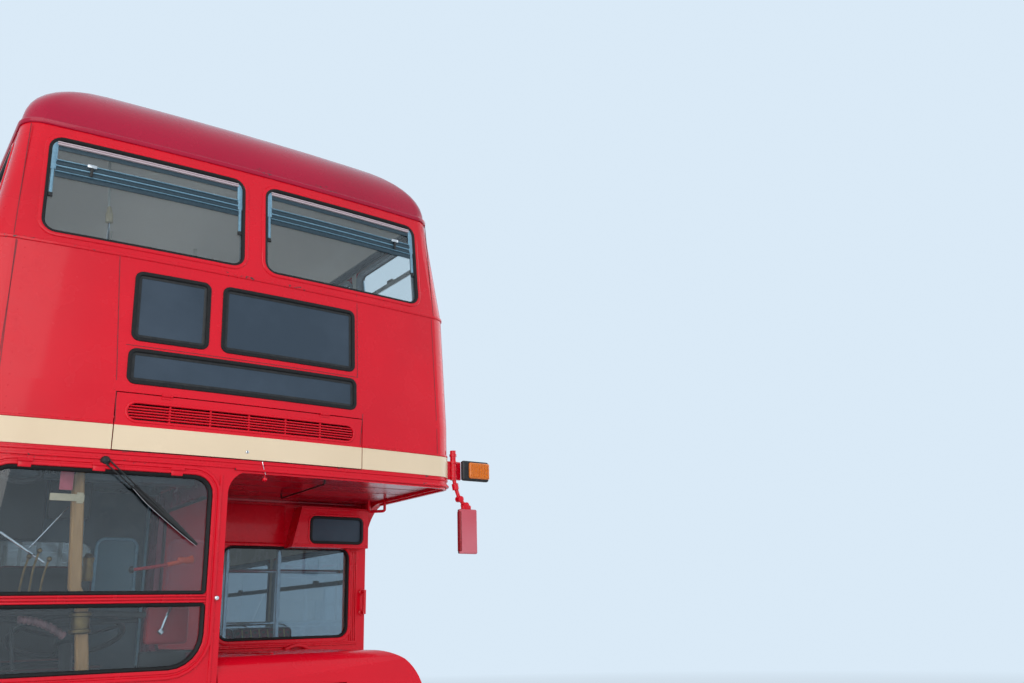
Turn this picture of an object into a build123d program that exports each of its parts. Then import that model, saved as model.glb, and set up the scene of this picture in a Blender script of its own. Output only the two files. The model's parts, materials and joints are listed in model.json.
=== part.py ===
from build123d import *
import math
import os

# Half-cab double decker bus with an open rear platform
# Millimetres, +Z up. The front faces -Y and the nearside (kerb side) is +X
# The origin is on the ground at mid length

# Body envelope
FRONT_OVERHANG = 800.0
WHEELBASE = 5131.0
REAR_OVERHANG = 2449.0
CAB_LENGTH = 1090.0  # front face to the bulkhead behind the driver
PLATFORM_LENGTH = 1610.0  # entrance to the rear face
HALF_WIDTH = 1219.0
FACE_BOW = 55.0  # how far the front and rear faces bow forward of their corners
CORNER_R = 100.0
LEAN_Z = 2640.0  # the walls stand upright up to here
WALL = 45.0  # double-skinned side and end walls
SKIN = 12.0  # outer skin in front of a window pocket
GLASS_T = 6.0
GLASS_GAP = 1.0  # all round a pane in its pocket
SKIRT_Z = 380.0
CANOPY_Z = 2296.0
BAND_Z = (2353.0, 2465.0)
BAND_PROUD = 5.0
WAIST_Z = 3297.0
CANT_Z = 3950.0

# Roof dome
ROOF_RISE = 431.0
ROOF_RUN = 624.0
ROOF_T = 30.0
ROOF_STEPS = 8
CEILING_STEPS = 4
ROOF_CORNER_GROWTH = 0.3  # how fast the plan corners open up towards the crown
CORNER_FACETS = 4  # flat sheets round each plan corner of the dome
GUTTER_H = 22.0
GUTTER_PROUD = 12.0

# Decks
PLATFORM_Z = 400.0
RISER_T = 20.0
LOWER_FLOOR_Z = 680.0
LOWER_FLOOR_T = 40.0
UPPER_FLOOR_Z = 2400.0
UPPER_FLOOR_T = 90.0
BULKHEAD_T = 40.0
BULKHEAD_WINDOWS_X = [(292.0, 1098.0), (-1010.0, -420.0)]
BULKHEAD_WINDOW_Z = (1509.0, 2035.0)

# Axles and wheels
TYRE_R = 510.0
TYRE_W = 265.0
RIM_R = 254.0
FRONT_WHEEL_X = 1000.0
KINGPIN_X = 900.0
REAR_WHEEL_X = (745.0, 1030.0)  # inner and outer twin
ARCH_R = 590.0

# Side windows
SIDE_BAYS = 4  # between the bulkhead and the entrance
PILLAR = 100.0
LOWER_WINDOW_Z = (1370.0, 2050.0)
UPPER_WINDOW_Z = (3356.0, 3863.0)
UPPER_FRONT_POST = 310.0  # from the front face to the first side window
UPPER_REAR_POST = 290.0
WINDOW_R = 60.0
POCKET = 25.0  # how far the pocket behind the skin reaches past the aperture

# Upper front windows and blinds
FRONT_WINDOW_X = (61.0, 1004.0)
NUMBER_BLIND = (-574.0, -228.0, 2882.0, 3219.0)
VIA_BLIND = (-152.0, 570.0, 2882.0, 3219.0)
DESTINATION_BLIND = (-579.0, 579.0, 2671.0, 2829.0)
BLIND_R = 30.0
BLIND_T = 6.0

# Air intake flap between the decks
FLAP_HALF_W = 621.0
FLAP_Z = (2353.0, 2617.0)
FLAP_T = 20.0
FLAP_GAP = 5.0
FLAP_GRILLE = (570.0, 2494.0, 2574.0)
FLAP_SLATS = 5
FLAP_DIVIDERS = 5
FLAP_HINGE_X = 400.0

# Driver's cab
CAB_INNER_X = -85.0
CAB_FLOOR_Z = 1100.0
CAB_FLOOR_T = 30.0
SCREEN_X = (-1085.0, -166.0)
SCREEN_UPPER_Z = (1726.0, 2254.0)
SCREEN_LOWER_Z = (1411.0, 1684.0)
SCREEN_TOP_R = 80.0
SCREEN_LOW_R = 140.0
SCREEN_RAIL_LAP = 15.0  # how far each pane reaches behind the rail between them
CAB_QUARTER = (180.0, 330.0)  # from the front face
CAB_NEAR_WINDOW = (150.0, 160.0)  # from the front face and from the bulkhead
CAB_SIDE_WINDOW_Z = (1470.0, 2200.0)
ARCH_GUSSET_R = 110.0
SIDE_GUSSET_R = 260.0
DOOR = (700.0, 100.0)  # its front and rear edges, ahead of the bulkhead
DOOR_Z = (1180.0, 2250.0)
DOOR_T = 24.0
DOOR_CLEAR = 6.0
DOOR_LAP = 25.0
DOOR_WINDOW_MARGIN = 90.0
DOOR_TRAVEL = 600.0
RAIL_H = 24.0

# Bonnet and front end
BONNET_TOP_Z = 1448.0
BONNET_SIDE_X = 1030.0
BONNET_LOW_Z = 1150.0
BONNET_SHOULDER_R = 290.0
BONNET_NOSE_R = 130.0
BONNET_T = 20.0
BONNET_GAP = 6.0
HINGE_R = 5.5
HINGE_W = 50.0
HINGE_GAP = 0.3
SCUTTLE_LENGTH = 140.0
COWL_X = (-85.0, 560.0)
COWL_DEPTH = 110.0
COWL_PROUD = 40.0
COWL_TOP_Z = 1300.0
GRILLE_MARGIN = 55.0
GRILLE_LOW_Z = 620.0
GRILLE_SLATS = 11
GRILLE_EDGE = 15.0
SLAT_T = 8.0
SLAT_ROOT = 6.0  # how far a slat runs into its frame

# Nearside number box over the bonnet
NUMBER_BOX_DEPTH = 120.0
NUMBER_BOX_TOP = (726.0, 1212.0, 2275.0)
NUMBER_BOX_LOW = (667.0, 1174.0, 2031.0)
NUMBER_BOX_BLIND = (786.0, 1130.0, 2060.0, 2212.0)

# Indicator ears and mirrors
EAR_X = (1310.0, 1496.0)
EAR_SETBACK = 110.0
EAR_Z = (2339.0, 2467.0)
MIRROR_X = (1282.0, 1385.0)
MIRROR_Z = (1934.0, 2173.0)
ARM_R = 9.0
ARM_OFFSET = 45.0
ARM_DROP = 80.0
EAR_D = 60.0
MIRROR_T = 24.0
BRACKET_T = 10.0
BRACKET_LAP = 40.0

# Rear
REAR_WINDOW_X = (180.0, 980.0)
REAR_WINDOW_Z = (1400.0, 2040.0)
ESCAPE_HALF_W = 640.0
ESCAPE_Z = (3250.0, 3850.0)
ESCAPE_T = 28.0
ESCAPE_MARGIN = 60.0
ESCAPE_HINGE_X = 400.0

# Stairs
STAIR_X = -560.0  # inner side of the flight
STAIR_WALL_X = -1150.0
STAIR_REAR_GAP = 110.0
STAIR_TURN = 520.0  # from the newel to the rear end of the well
STAIR_RISERS = 9
STAIR_WINDERS = 3
STAIR_GOING = 225.0
STAIR_SLAB = 60.0
STAIR_HEADROOM = 285.0  # the floor opening runs on past the last step
STAIR_PANEL_T = 20.0
NEWEL_W = 60.0

# Seats
SEAT_W = 840.0
SEAT_D = 420.0
SEAT_H = 430.0
CUSHION_T = 90.0
BACK_T = 70.0
BACK_H = 470.0
FRAME_T = 25.0
SEAT_PITCH = 740.0
LOWER_ROWS = 4
UPPER_ROWS = 9
SEAT_WALL_GAP = 20.0
UPPER_SEAT_GAP = 55.0  # the upper walls lean in
LEG_INSET = 60.0
FIRST_LOWER_ROW = 500.0  # from the bulkhead
FIRST_UPPER_ROW = 840.0  # from the front face
BENCH_LENGTH = 1300.0
BENCH_D = 460.0
BENCH_BACK_H = 190.0
WHEEL_BOX_X = 580.0
WHEEL_BOX_Z = 1080.0
WHEEL_BOX_T = 20.0
FRONT_BOX_X = 530.0
FRONT_BOX_Z = 1030.0
DRIVER_X = -650.0
DRIVER_SEAT = (460.0, 30.0)  # its front and rear edges, ahead of the bulkhead
DRIVER_SEAT_W = 460.0
DRIVER_BOX_H = 250.0

# Chassis
RAIL_X = 400.0
RAIL_W = 70.0
CHASSIS_RAIL_H = 150.0
RAIL_T = 10.0
TOW_EYE_R = 20.0
TOW_EYE_T = 20.0
RAIL_SETBACK = 80.0  # from the inside of the front wall to the rail ends
CROSS_W = 60.0
CROSS_MEMBERS = (0.0, 1400.0, 2940.0, 4140.0)  # front edges, behind the bulkhead
AXLE_NOTCH = 110.0
SPRING_W = 60.0

# Engine, driveline and tank
ENGINE_X = 60.0
ENGINE = (300.0, 30.0)  # from the front face and from the bulkhead
ENGINE_TOP_Z = 1330.0
GEARBOX_HALF_W = 140.0
GEARBOX = (2200.0, 2850.0)  # behind the bulkhead
SHAFT_R = 40.0
PINION_NOSE = 220.0
PINION_R = 60.0
TANK_X = -1130.0
TANK = (1450.0, 2400.0)  # behind the bulkhead

# Axle pieces
BEAM_Z = 400.0
BEAM_R = 45.0
YOKE_W = 100.0
YOKE_DEPTH = 100.0  # leaves room for the knuckle's corners to swing
YOKE_DROP = 110.0
YOKE_ARM_T = 35.0
YOKE_PLAY = 7.0
KNUCKLE_H = 136.0
KINGPIN_R = 18.0
SPINDLE_R = 30.0
SPINDLE_REACH = 60.0
PIN_FIT = 0.05
PIN_GAP = 0.5
RIM_T = 16.0
RIM_INSET = 22.0
PLATE_T = 14.0
TYRE_SHOULDER = 25.0
FRONT_DISH = 30.0
FRONT_HUB_R = 90.0
FRONT_NECK_R = 65.0  # turns between the yoke arms
FRONT_NECK_REACH = 120.0  # from the kingpin to the wide part of the hub
REAR_DISH = 70.0
REAR_HUB_R = 100.0
HALF_SHAFT_R = 50.0
AXLE_END_INSET = 30.0
AXLE_CASE_X = 560.0
AXLE_CASE_R = 65.0
FINAL_DRIVE_R = 170.0
FINAL_DRIVE_H = 100.0

# Steering
STEERING_SETBACK = 390.0
STEERING_Z = 1560.0
COLUMN_TILT = 22.0
COLUMN_R = 28.0
STEERING_R = 235.0
STEERING_RIM = 26.0
BOSS_R = 50.0
BOSS_H = 44.0

# Lamps, wiper and rails
HEADLAMP_X = 880.0
HEADLAMP_Z = 830.0
HEADLAMP_R = 100.0
HEADLAMP_OUT = 90.0
SIDE_LAMP_X = 1090.0
SIDE_LAMP_Z = 1090.0
SIDE_LAMP_R = 35.0
SIDE_LAMP_OUT = 30.0
TAIL_LAMP_Z = 760.0
WIPER_PIVOT = (-640.0, 2290.0)
WIPER_TIP = (-215.0, 1950.0)
WIPER_OUT = 12.0
WIPER_R = 7.0
POLE_R = 19.0
POLE_INSET = 140.0
HANDLE_Z = (1638.0, 1784.0)
HANDLE_OUT = 40.0
HANDLE_R = 11.0

# Places along the bus
LENGTH = FRONT_OVERHANG + WHEELBASE + REAR_OVERHANG
FRONT_Y = -LENGTH / 2
REAR_Y = LENGTH / 2
FRONT_AXLE_Y = FRONT_Y + FRONT_OVERHANG
REAR_AXLE_Y = FRONT_AXLE_Y + WHEELBASE
BULKHEAD_Y = FRONT_Y + CAB_LENGTH
ENTRANCE_Y = REAR_Y - PLATFORM_LENGTH
CAB_QUARTER_Y = (FRONT_Y + CAB_QUARTER[0], FRONT_Y + CAB_QUARTER[1])
CAB_NEAR_WINDOW_Y = (FRONT_Y + CAB_NEAR_WINDOW[0], BULKHEAD_Y - CAB_NEAR_WINDOW[1])
DOOR_Y = (BULKHEAD_Y - DOOR[0], BULKHEAD_Y - DOOR[1])
DRIVER_SEAT_Y = (BULKHEAD_Y - DRIVER_SEAT[0], BULKHEAD_Y - DRIVER_SEAT[1])
ENGINE_Y = (FRONT_Y + ENGINE[0], BULKHEAD_Y - ENGINE[1])
GEARBOX_Y = (BULKHEAD_Y + GEARBOX[0], BULKHEAD_Y + GEARBOX[1])
TANK_Y = (BULKHEAD_Y + TANK[0], BULKHEAD_Y + TANK[1])
STEERING_Y = FRONT_Y + STEERING_SETBACK
EAR_Y = FRONT_Y + EAR_SETBACK
STAIR_REAR_Y = REAR_Y - STAIR_REAR_GAP
STAIR_NEWEL_Y = STAIR_REAR_Y - STAIR_TURN
FAR = LENGTH  # longer than any piece reaches

# Body sections: height, half width, set-back of the front face, set-back of the rear face
SECTIONS = [
    (SKIRT_Z, HALF_WIDTH, 0.0, 0.0),
    (LEAN_Z, HALF_WIDTH, 0.0, 0.0),
    (WAIST_Z, HALF_WIDTH - 13.0, 36.0, 20.0),
    (CANT_Z, HALF_WIDTH - 92.0, 112.0, 90.0),
]


def block(x, y, z):
    """Box between the two values given for each axis."""
    size = [b - a for a, b in (x, y, z)]
    centre = [(a + b) / 2 for a, b in (x, y, z)]
    return Pos(*centre) * Box(*size)


def save(name, *shapes):
    """One STEP file for one sub-part."""
    solids = [solid for shape in shapes for solid in shape.solids()]
    export_step(solids[0] if len(solids) == 1 else Compound(solids), f"parts/{name}.step")


def both_sides(shape):
    """A piece and its mirror image across the centre line."""
    return [shape, mirror(shape, about=Plane.YZ)]


def cylinder_x(x, y, z, radius):
    """Round bar along X between two x values."""
    length = x[1] - x[0]
    return Pos((x[0] + x[1]) / 2, y, z) * Rot(0, 90, 0) * Cylinder(radius, length)


def cylinder_y(x, y, z, radius):
    """Round bar along Y between two y values."""
    return Pos(x, (y[0] + y[1]) / 2, z) * Rot(90, 0, 0) * Cylinder(radius, y[1] - y[0])


def cylinder_z(x, y, z, radius):
    """Upright round bar between two heights."""
    return Pos(x, y, (z[0] + z[1]) / 2) * Cylinder(radius, z[1] - z[0])


def rod(start, end, radius):
    """Round bar between two points."""
    axis = Vector(*end) - Vector(*start)
    return Solid.make_cylinder(radius, axis.length, Plane(origin=start, z_dir=axis.normalized()))


def outline(z, half_width, front_y, rear_y, corner_r):
    """Plan outline of the body: bowed ends, straight sides, round corners."""
    bow = FACE_BOW * (half_width / HALF_WIDTH) ** 2
    front_left = (-half_width, front_y + bow)
    front_right = (half_width, front_y + bow)
    rear_left = (-half_width, rear_y - bow)
    rear_right = (half_width, rear_y - bow)
    edges = [
        ThreePointArc(front_left, (0, front_y), front_right),
        Line(front_right, rear_right),
        ThreePointArc(rear_right, (0, rear_y), rear_left),
        Line(rear_left, front_left),
    ]
    face = make_face(Curve(edges))
    return Pos(0, 0, z) * fillet(face.vertices(), corner_r)


def hull(offset):
    """Everything inside the body surface moved inwards by offset, from the skirt to the cant rail."""
    faces = [
        outline(z, half - offset, FRONT_Y + front + offset, REAR_Y - rear - offset, CORNER_R - offset)
        for z, half, front, rear in SECTIONS
    ]
    return extrude(faces[0], LEAN_Z - SKIRT_Z) + loft(faces[1:], ruled=True)


def cross_section(offset):
    """The body's straight length: its cross-section moved inwards by offset and run past both ends."""
    right = [(half - offset, z) for z, half, *rest in SECTIONS]
    left = [(-x, z) for x, z in reversed(right)]
    return extrude(Plane.XZ * make_face(Polyline(*right, *left, close=True)), FAR, both=True)


def roof_plan(z, half, front_y, rear_y, corner_r):
    """Points of the dome's plan at one height: two flat sheets across half an end, a few at each corner."""
    bow = FACE_BOW * half / HALF_WIDTH
    middle = (half / 4, bow / 16)
    slope = math.atan2(bow - middle[1], half - middle[0])
    turn = math.pi / 2 - slope
    centre = (half - corner_r, bow + corner_r * math.tan(turn / 2))
    quarter = [(0.0, 0.0), middle]
    for n in range(CORNER_FACETS + 1):
        heading = slope + turn * n / CORNER_FACETS
        quarter.append((centre[0] + corner_r * math.sin(heading), centre[1] - corner_r * math.cos(heading)))
    points = [(x, front_y + y, z) for x, y in quarter]
    points += [(x, rear_y - y, z) for x, y in reversed(quarter)]
    points += [(-x, rear_y - y, z) for x, y in quarter[1:]]
    points += [(-x, front_y + y, z) for x, y in reversed(quarter[1:])]
    return points


def flat_face(*points):
    """Flat face with straight edges through some points."""
    return make_face(Polyline(*points, close=True))


def dome(offset, steps):
    """The roof as a solid of flat sheets, its surface moved inwards by offset."""
    z, half, front, rear = SECTIONS[-1]
    plans = []
    for step in range(steps + 1):
        angle = math.radians(90.0 * step / steps)
        inset = offset + (ROOF_RUN - offset) * (1 - math.cos(angle))
        height = z + (ROOF_RISE - offset) * math.sin(angle)
        corner = CORNER_R - offset + ROOF_CORNER_GROWTH * inset
        plans.append(roof_plan(height, half - inset, FRONT_Y + front + inset, REAR_Y - rear - inset, corner))
    sheets = [flat_face(*plans[0]), flat_face(*plans[-1])]
    for low, high in zip(plans, plans[1:]):
        for n in range(len(low)):
            sheets.append(flat_face(low[n - 1], low[n], high[n], high[n - 1]))
    return Solid(Shell([sheet.face() for sheet in sheets]))


def rounded_x(y, z, radius, x):
    """Rounded rectangle in the YZ plane, extruded between two x values."""
    centre = ((y[0] + y[1]) / 2, (z[0] + z[1]) / 2)
    plane = Plane(origin=(x[0], 0, 0), x_dir=(0, 1, 0), z_dir=(1, 0, 0))
    sketch = plane * Pos(*centre) * RectangleRounded(y[1] - y[0], z[1] - z[0], radius)
    return extrude(sketch, x[1] - x[0])


def rounded_y(x, z, radius, y):
    """Rounded rectangle in the XZ plane, extruded between two y values."""
    centre = ((x[0] + x[1]) / 2, (z[0] + z[1]) / 2)
    plane = Plane(origin=(0, y[1], 0), x_dir=(1, 0, 0), z_dir=(0, -1, 0))
    sketch = plane * Pos(*centre) * RectangleRounded(x[1] - x[0], z[1] - z[0], radius)
    return extrude(sketch, y[1] - y[0])


def grown(pair, by):
    """A pair of limits moved apart by the same amount at each end."""
    return (pair[0] - by, pair[1] + by)


def face_y(x, z, end):
    """Place of the front (end -1) or rear (end 1) face of the body at a height."""
    for low, high in zip(SECTIONS, SECTIONS[1:]):
        if low[0] <= z <= high[0]:
            share = (z - low[0]) / (high[0] - low[0])
            front = low[2] + (high[2] - low[2]) * share
            rear = low[3] + (high[3] - low[3]) * share
    bow = FACE_BOW * (x / HALF_WIDTH) ** 2
    return FRONT_Y + front + bow if end < 0 else REAR_Y - rear - bow


def leaf_hinges(hinge_x, top_z, end):
    """Two hinge barrels with their leaves at the upper edge of a lifting panel."""
    barrel_z = top_z + FLAP_GAP / 2
    barrel_y = face_y(hinge_x, barrel_z, end) + end * (HINGE_R + HINGE_GAP)
    leaf_y = sorted((barrel_y - end * HINGE_R / 2, barrel_y - end * (HINGE_R + FLAP_T / 2)))
    pieces = []
    for x in (-hinge_x, hinge_x):
        x_span = (x - HINGE_W / 2, x + HINGE_W / 2)
        leaf_z = (top_z - HINGE_W / 4, top_z)
        leaf = cylinder_x(x_span, barrel_y, barrel_z, HINGE_R) + block(x_span, leaf_y, leaf_z)
        pieces.append(leaf)
    return pieces


os.makedirs("parts", exist_ok=True)

outer_hull = hull(0)
inner_hull = hull(WALL)
skin_hull = hull(SKIN)
glass_hull = hull(SKIN + GLASS_T)
wall = outer_hull - inner_hull
skin = outer_hull - skin_hull
glass_layer = skin_hull - glass_hull
blind_layer = hull(SKIN - BLIND_T) - skin_hull
band_hull = hull(-BAND_PROUD)
side_skin = cross_section(SKIN)
side_wall = cross_section(0) - cross_section(WALL)
side_glass = side_skin - cross_section(SKIN + GLASS_T)

# Window tables: y limits of the bays on the nearside and the offside
bay = (ENTRANCE_Y - BULKHEAD_Y) / SIDE_BAYS
pillars = [BULKHEAD_Y + bay * n for n in range(SIDE_BAYS + 1)]
bays = [(a + PILLAR / 2, b - PILLAR / 2) for a, b in zip(pillars, pillars[1:])]
upper_bays = [
    (FRONT_Y + UPPER_FRONT_POST, pillars[0] - PILLAR / 2),
    *bays,
    (pillars[-1] + PILLAR / 2, REAR_Y - UPPER_REAR_POST),
]


def side_window(y, z, side, within):
    """Cutters of one side window: the rounded aperture, and the pocket behind the skin, within a form."""
    x = (0, FAR) if side > 0 else (-FAR, 0)
    aperture = rounded_x(y, z, WINDOW_R, x)
    pocket = block(x, grown(y, POCKET), grown(z, POCKET)) & within
    return aperture, pocket


def side_pane(y, z, side, layer):
    """Pane of one side window, in its pocket against the skin."""
    x = (0, FAR) if side > 0 else (-FAR, 0)
    return layer & block(x, grown(y, POCKET - GLASS_GAP), grown(z, POCKET - GLASS_GAP))


def cut_side_windows(shape, table, z, side):
    """Cuts a table of windows out of a side wall."""
    for y in table:
        for cutter in side_window(y, z, side, side_skin):
            shape -= cutter
    return shape


def cut_front_window(shape, x, z, y):
    """Cuts one window out of the front or rear face."""
    shape -= rounded_y(x, z, WINDOW_R, y)
    shape -= block(grown(x, POCKET), y, grown(z, POCKET)) & skin_hull
    return shape


def front_pane(x, z, y):
    """Pane of one window in the front or rear face."""
    return glass_layer & block(grown(x, POCKET - GLASS_GAP), y, grown(z, POCKET - GLASS_GAP))


AHEAD = (-FAR, FRONT_Y / 2)
BEHIND = (REAR_Y / 2, FAR)
ALL_X = (-FAR, FAR)
NEARSIDE = (0.0, FAR)
OFFSIDE = (-FAR, 0.0)
UPPER = (CANOPY_Z, CANT_Z)
LOWER = (SKIRT_Z, CANOPY_Z)
corner_reach = FACE_BOW + CORNER_R
front_join = FRONT_Y + SECTIONS[-1][2] + corner_reach
upper_rear_join = REAR_Y - SECTIONS[-1][3] - corner_reach
rear_join = REAR_Y - corner_reach
front_windows = [FRONT_WINDOW_X, (-FRONT_WINDOW_X[1], -FRONT_WINDOW_X[0])]
blind_table = [NUMBER_BLIND, VIA_BLIND, DESTINATION_BLIND]
flap_x = (-FLAP_HALF_W, FLAP_HALF_W)

# Upper deck front shell, with the blind recesses and the intake opening
front_shell = wall & block(ALL_X, (-FAR, front_join), UPPER)
for x in front_windows:
    front_shell = cut_front_window(front_shell, x, UPPER_WINDOW_Z, AHEAD)
for x0, x1, z0, z1 in blind_table:
    front_shell -= rounded_y((x0, x1), (z0, z1), BLIND_R, AHEAD) & skin
front_shell -= block(grown(flap_x, FLAP_GAP), AHEAD, grown(FLAP_Z, FLAP_GAP))
save("upper_front_shell", front_shell)
blind_plates = [
    rounded_y((x0, x1), (z0, z1), BLIND_R, AHEAD) & blind_layer for x0, x1, z0, z1 in blind_table
]

# Upper deck side walls and rear shell
for name, x, side in (("upper_nearside_wall", NEARSIDE, 1), ("upper_offside_wall", OFFSIDE, -1)):
    panel = side_wall & block(x, (front_join, upper_rear_join), UPPER)
    save(name, cut_side_windows(panel, upper_bays, UPPER_WINDOW_Z, side))
escape_x = (-ESCAPE_HALF_W, ESCAPE_HALF_W)
rear_shell = wall & block(ALL_X, (upper_rear_join, FAR), UPPER)
rear_shell -= block(grown(escape_x, FLAP_GAP), BEHIND, grown(ESCAPE_Z, FLAP_GAP))
save("upper_rear_shell", rear_shell)

# Roof dome on the cant rails, with the gutter round its foot
gutter_z = (CANT_Z - GUTTER_H, CANT_Z)
half, front, rear = SECTIONS[-1][1:]
gutter_plan = outline(
    gutter_z[0],
    half + GUTTER_PROUD,
    FRONT_Y + front - GUTTER_PROUD,
    REAR_Y - rear + GUTTER_PROUD,
    CORNER_R + GUTTER_PROUD,
)
gutter = extrude(gutter_plan, GUTTER_H + GUTTER_PROUD) - outer_hull - dome(0, ROOF_STEPS)
save("roof", dome(0, ROOF_STEPS) - dome(ROOF_T, CEILING_STEPS), gutter)

# Upper floor, whose underside is the canopy soffit, open over the stairs
stair_front_y = STAIR_NEWEL_Y - STAIR_GOING * (STAIR_RISERS - 1 - STAIR_WINDERS)
well_y = (stair_front_y - STAIR_HEADROOM, FAR)
stair_well = block((-FAR, STAIR_X), well_y, (CANOPY_Z, CANT_Z))
floor_slab = inner_hull & block(ALL_X, (-FAR, FAR), (UPPER_FLOOR_Z - UPPER_FLOOR_T, UPPER_FLOOR_Z))
save("upper_floor", floor_slab - stair_well)

# Cream band round the body between the decks; the flap carries its own length of it
band = (band_hull - outer_hull) & block(ALL_X, (-FAR, FAR), BAND_Z)
save("cream_band", band - block(grown(flap_x, FLAP_GAP), AHEAD, (0, FAR)))
save("flap_band", band & block(flap_x, AHEAD, (0, FAR)))

# Lower deck walls
rear_arch = cylinder_x((-FAR, FAR), REAR_AXLE_Y, TYRE_R, ARCH_R)
front_arch = cylinder_x((-FAR, FAR), FRONT_AXLE_Y, TYRE_R, ARCH_R)
gusset_y = (BULKHEAD_Y - SIDE_GUSSET_R, BULKHEAD_Y)
gusset = wall & block(NEARSIDE, gusset_y, (CANOPY_Z - SIDE_GUSSET_R, CANOPY_Z))
gusset -= cylinder_x((0, FAR), gusset_y[0], CANOPY_Z - SIDE_GUSSET_R, SIDE_GUSSET_R)
nearside = wall & block(NEARSIDE, (BULKHEAD_Y, ENTRANCE_Y), LOWER)
nearside = cut_side_windows(nearside - rear_arch - front_arch, bays, LOWER_WINDOW_Z, 1)
save("lower_nearside_wall", nearside + gusset)
offside = wall & block(OFFSIDE, (BULKHEAD_Y, rear_join), LOWER)
offside = cut_side_windows(offside - rear_arch - front_arch, bays, LOWER_WINDOW_Z, -1)
save("lower_offside_wall", offside)
lower_rear = wall & block(ALL_X, (rear_join, FAR), LOWER)
save("lower_rear_shell", cut_front_window(lower_rear, REAR_WINDOW_X, REAR_WINDOW_Z, BEHIND))

# Bonnet form: a flat top, a round nearside shoulder and a round nose


def bonnet_form(offset, front, rear):
    """Solid under the bonnet surface moved inwards by offset, between two y values."""
    side = BONNET_SIDE_X - offset
    top = BONNET_TOP_Z - offset
    low = BONNET_LOW_Z - 1.0
    across = Polyline(
        (CAB_INNER_X - 50.0, low), (side, low), (side, top), (CAB_INNER_X - 50.0, top), close=True
    )
    section = Plane.XZ * make_face(across)
    corner = section.vertices().sort_by(Axis.X)[-2:].sort_by(Axis.Z)[-1:]
    solid = extrude(fillet(corner, BONNET_SHOULDER_R - offset), FAR, both=True)
    along = Polyline((front + offset, low), (rear, low), (rear, top), (front + offset, top), close=True)
    length = Plane.YZ * make_face(along)
    nose = length.vertices().sort_by(Axis.Y)[:2].sort_by(Axis.Z)[-1:]
    return solid & extrude(fillet(nose, BONNET_NOSE_R - offset), FAR, both=True)


bonnet_rear = BULKHEAD_Y - SCUTTLE_LENGTH
form = bonnet_form(0, FRONT_Y, BULKHEAD_Y) & outer_hull
form -= bonnet_form(BONNET_T, FRONT_Y, BULKHEAD_Y) & hull(BONNET_T)
form &= block((CAB_INNER_X, FAR), (-FAR, FAR), (BONNET_LOW_Z, FAR))
scuttle = form & block(ALL_X, (bonnet_rear, BULKHEAD_Y), (0, FAR))
bonnet_x = (CAB_INNER_X + BONNET_GAP, FAR)
bonnet = form & block(bonnet_x, (-FAR, bonnet_rear - BONNET_GAP), (BONNET_LOW_Z, FAR))
bonnet -= block((-FAR, COWL_X[1] + BONNET_GAP), AHEAD, (0, COWL_TOP_Z + BONNET_GAP))
hinge_y = (FRONT_Y + BONNET_NOSE_R + HINGE_W, bonnet_rear - BONNET_GAP)
barrel_x = CAB_INNER_X + HINGE_R + HINGE_GAP
bonnet += cylinder_y(barrel_x, hinge_y, BONNET_TOP_Z - HINGE_R, HINGE_R)
save("bonnet", bonnet)

# Bulkhead between the lower saloon and the cab, with the scuttle that closes the bonnet
bulkhead = inner_hull & block(
    ALL_X, (BULKHEAD_Y, BULKHEAD_Y + BULKHEAD_T), (LOWER_FLOOR_Z, UPPER_FLOOR_Z - UPPER_FLOOR_T)
)
front_box_hole_x = FRONT_BOX_X + WHEEL_BOX_T
for x in ((front_box_hole_x, FAR), (-FAR, -front_box_hole_x)):
    bulkhead -= block(x, (-FAR, FAR), (0, FRONT_BOX_Z - WHEEL_BOX_T))
for x in BULKHEAD_WINDOWS_X:
    bulkhead -= rounded_y(x, BULKHEAD_WINDOW_Z, WINDOW_R, (BULKHEAD_Y - 1, BULKHEAD_Y + BULKHEAD_T + 1))
save("front_bulkhead", bulkhead, scuttle)
bulkhead_panes = [
    rounded_y(x, BULKHEAD_WINDOW_Z, WINDOW_R, (BULKHEAD_Y + SKIN, BULKHEAD_Y + SKIN + GLASS_T))
    for x in BULKHEAD_WINDOWS_X
]

# Cab shell: front, offside and inboard walls
cab_y = (-FAR, BULKHEAD_Y)
cab = wall & block((-FAR, CAB_INNER_X), cab_y, LOWER)
floor_low_z = LOWER_FLOOR_Z - LOWER_FLOOR_T
cab += inner_hull & block((CAB_INNER_X - WALL, CAB_INNER_X), cab_y, (floor_low_z, CANOPY_Z))
arch_x = (CAB_INNER_X, CAB_INNER_X + ARCH_GUSSET_R)
arch_gusset = wall & block(arch_x, AHEAD, (CANOPY_Z - ARCH_GUSSET_R, CANOPY_Z))
arch_gusset -= cylinder_y(arch_x[1], AHEAD, CANOPY_Z - ARCH_GUSSET_R, ARCH_GUSSET_R)
cab += arch_gusset
cab -= cylinder_x((-FAR, CAB_INNER_X - WALL), FRONT_AXLE_Y, TYRE_R, ARCH_R)
screen_z = (SCREEN_LOWER_Z[0], SCREEN_UPPER_Z[1])
screen = block(SCREEN_X, AHEAD, screen_z)
screen_corners = screen.edges().filter_by(Axis.Y).group_by(Axis.Z)
screen = fillet(screen_corners[-1], SCREEN_TOP_R)
screen = fillet(screen.edges().filter_by(Axis.Y).group_by(Axis.Z)[0], SCREEN_LOW_R)
cab -= screen - block(ALL_X, AHEAD, (SCREEN_LOWER_Z[1], SCREEN_UPPER_Z[0]))
screen_pockets = [
    (SCREEN_UPPER_Z[0] - SCREEN_RAIL_LAP, SCREEN_UPPER_Z[1] + POCKET),
    (SCREEN_LOWER_Z[0] - POCKET, SCREEN_LOWER_Z[1] + SCREEN_RAIL_LAP),
]
for z in screen_pockets:
    cab -= block(grown(SCREEN_X, POCKET), AHEAD, z) & skin_hull
for cutter in side_window(CAB_QUARTER_Y, CAB_SIDE_WINDOW_Z, -1, skin_hull):
    cab -= cutter & block((-FAR, -HALF_WIDTH / 2), cab_y, LOWER)
near_x = (CAB_INNER_X - WALL - 1, CAB_INNER_X + 1)
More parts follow.
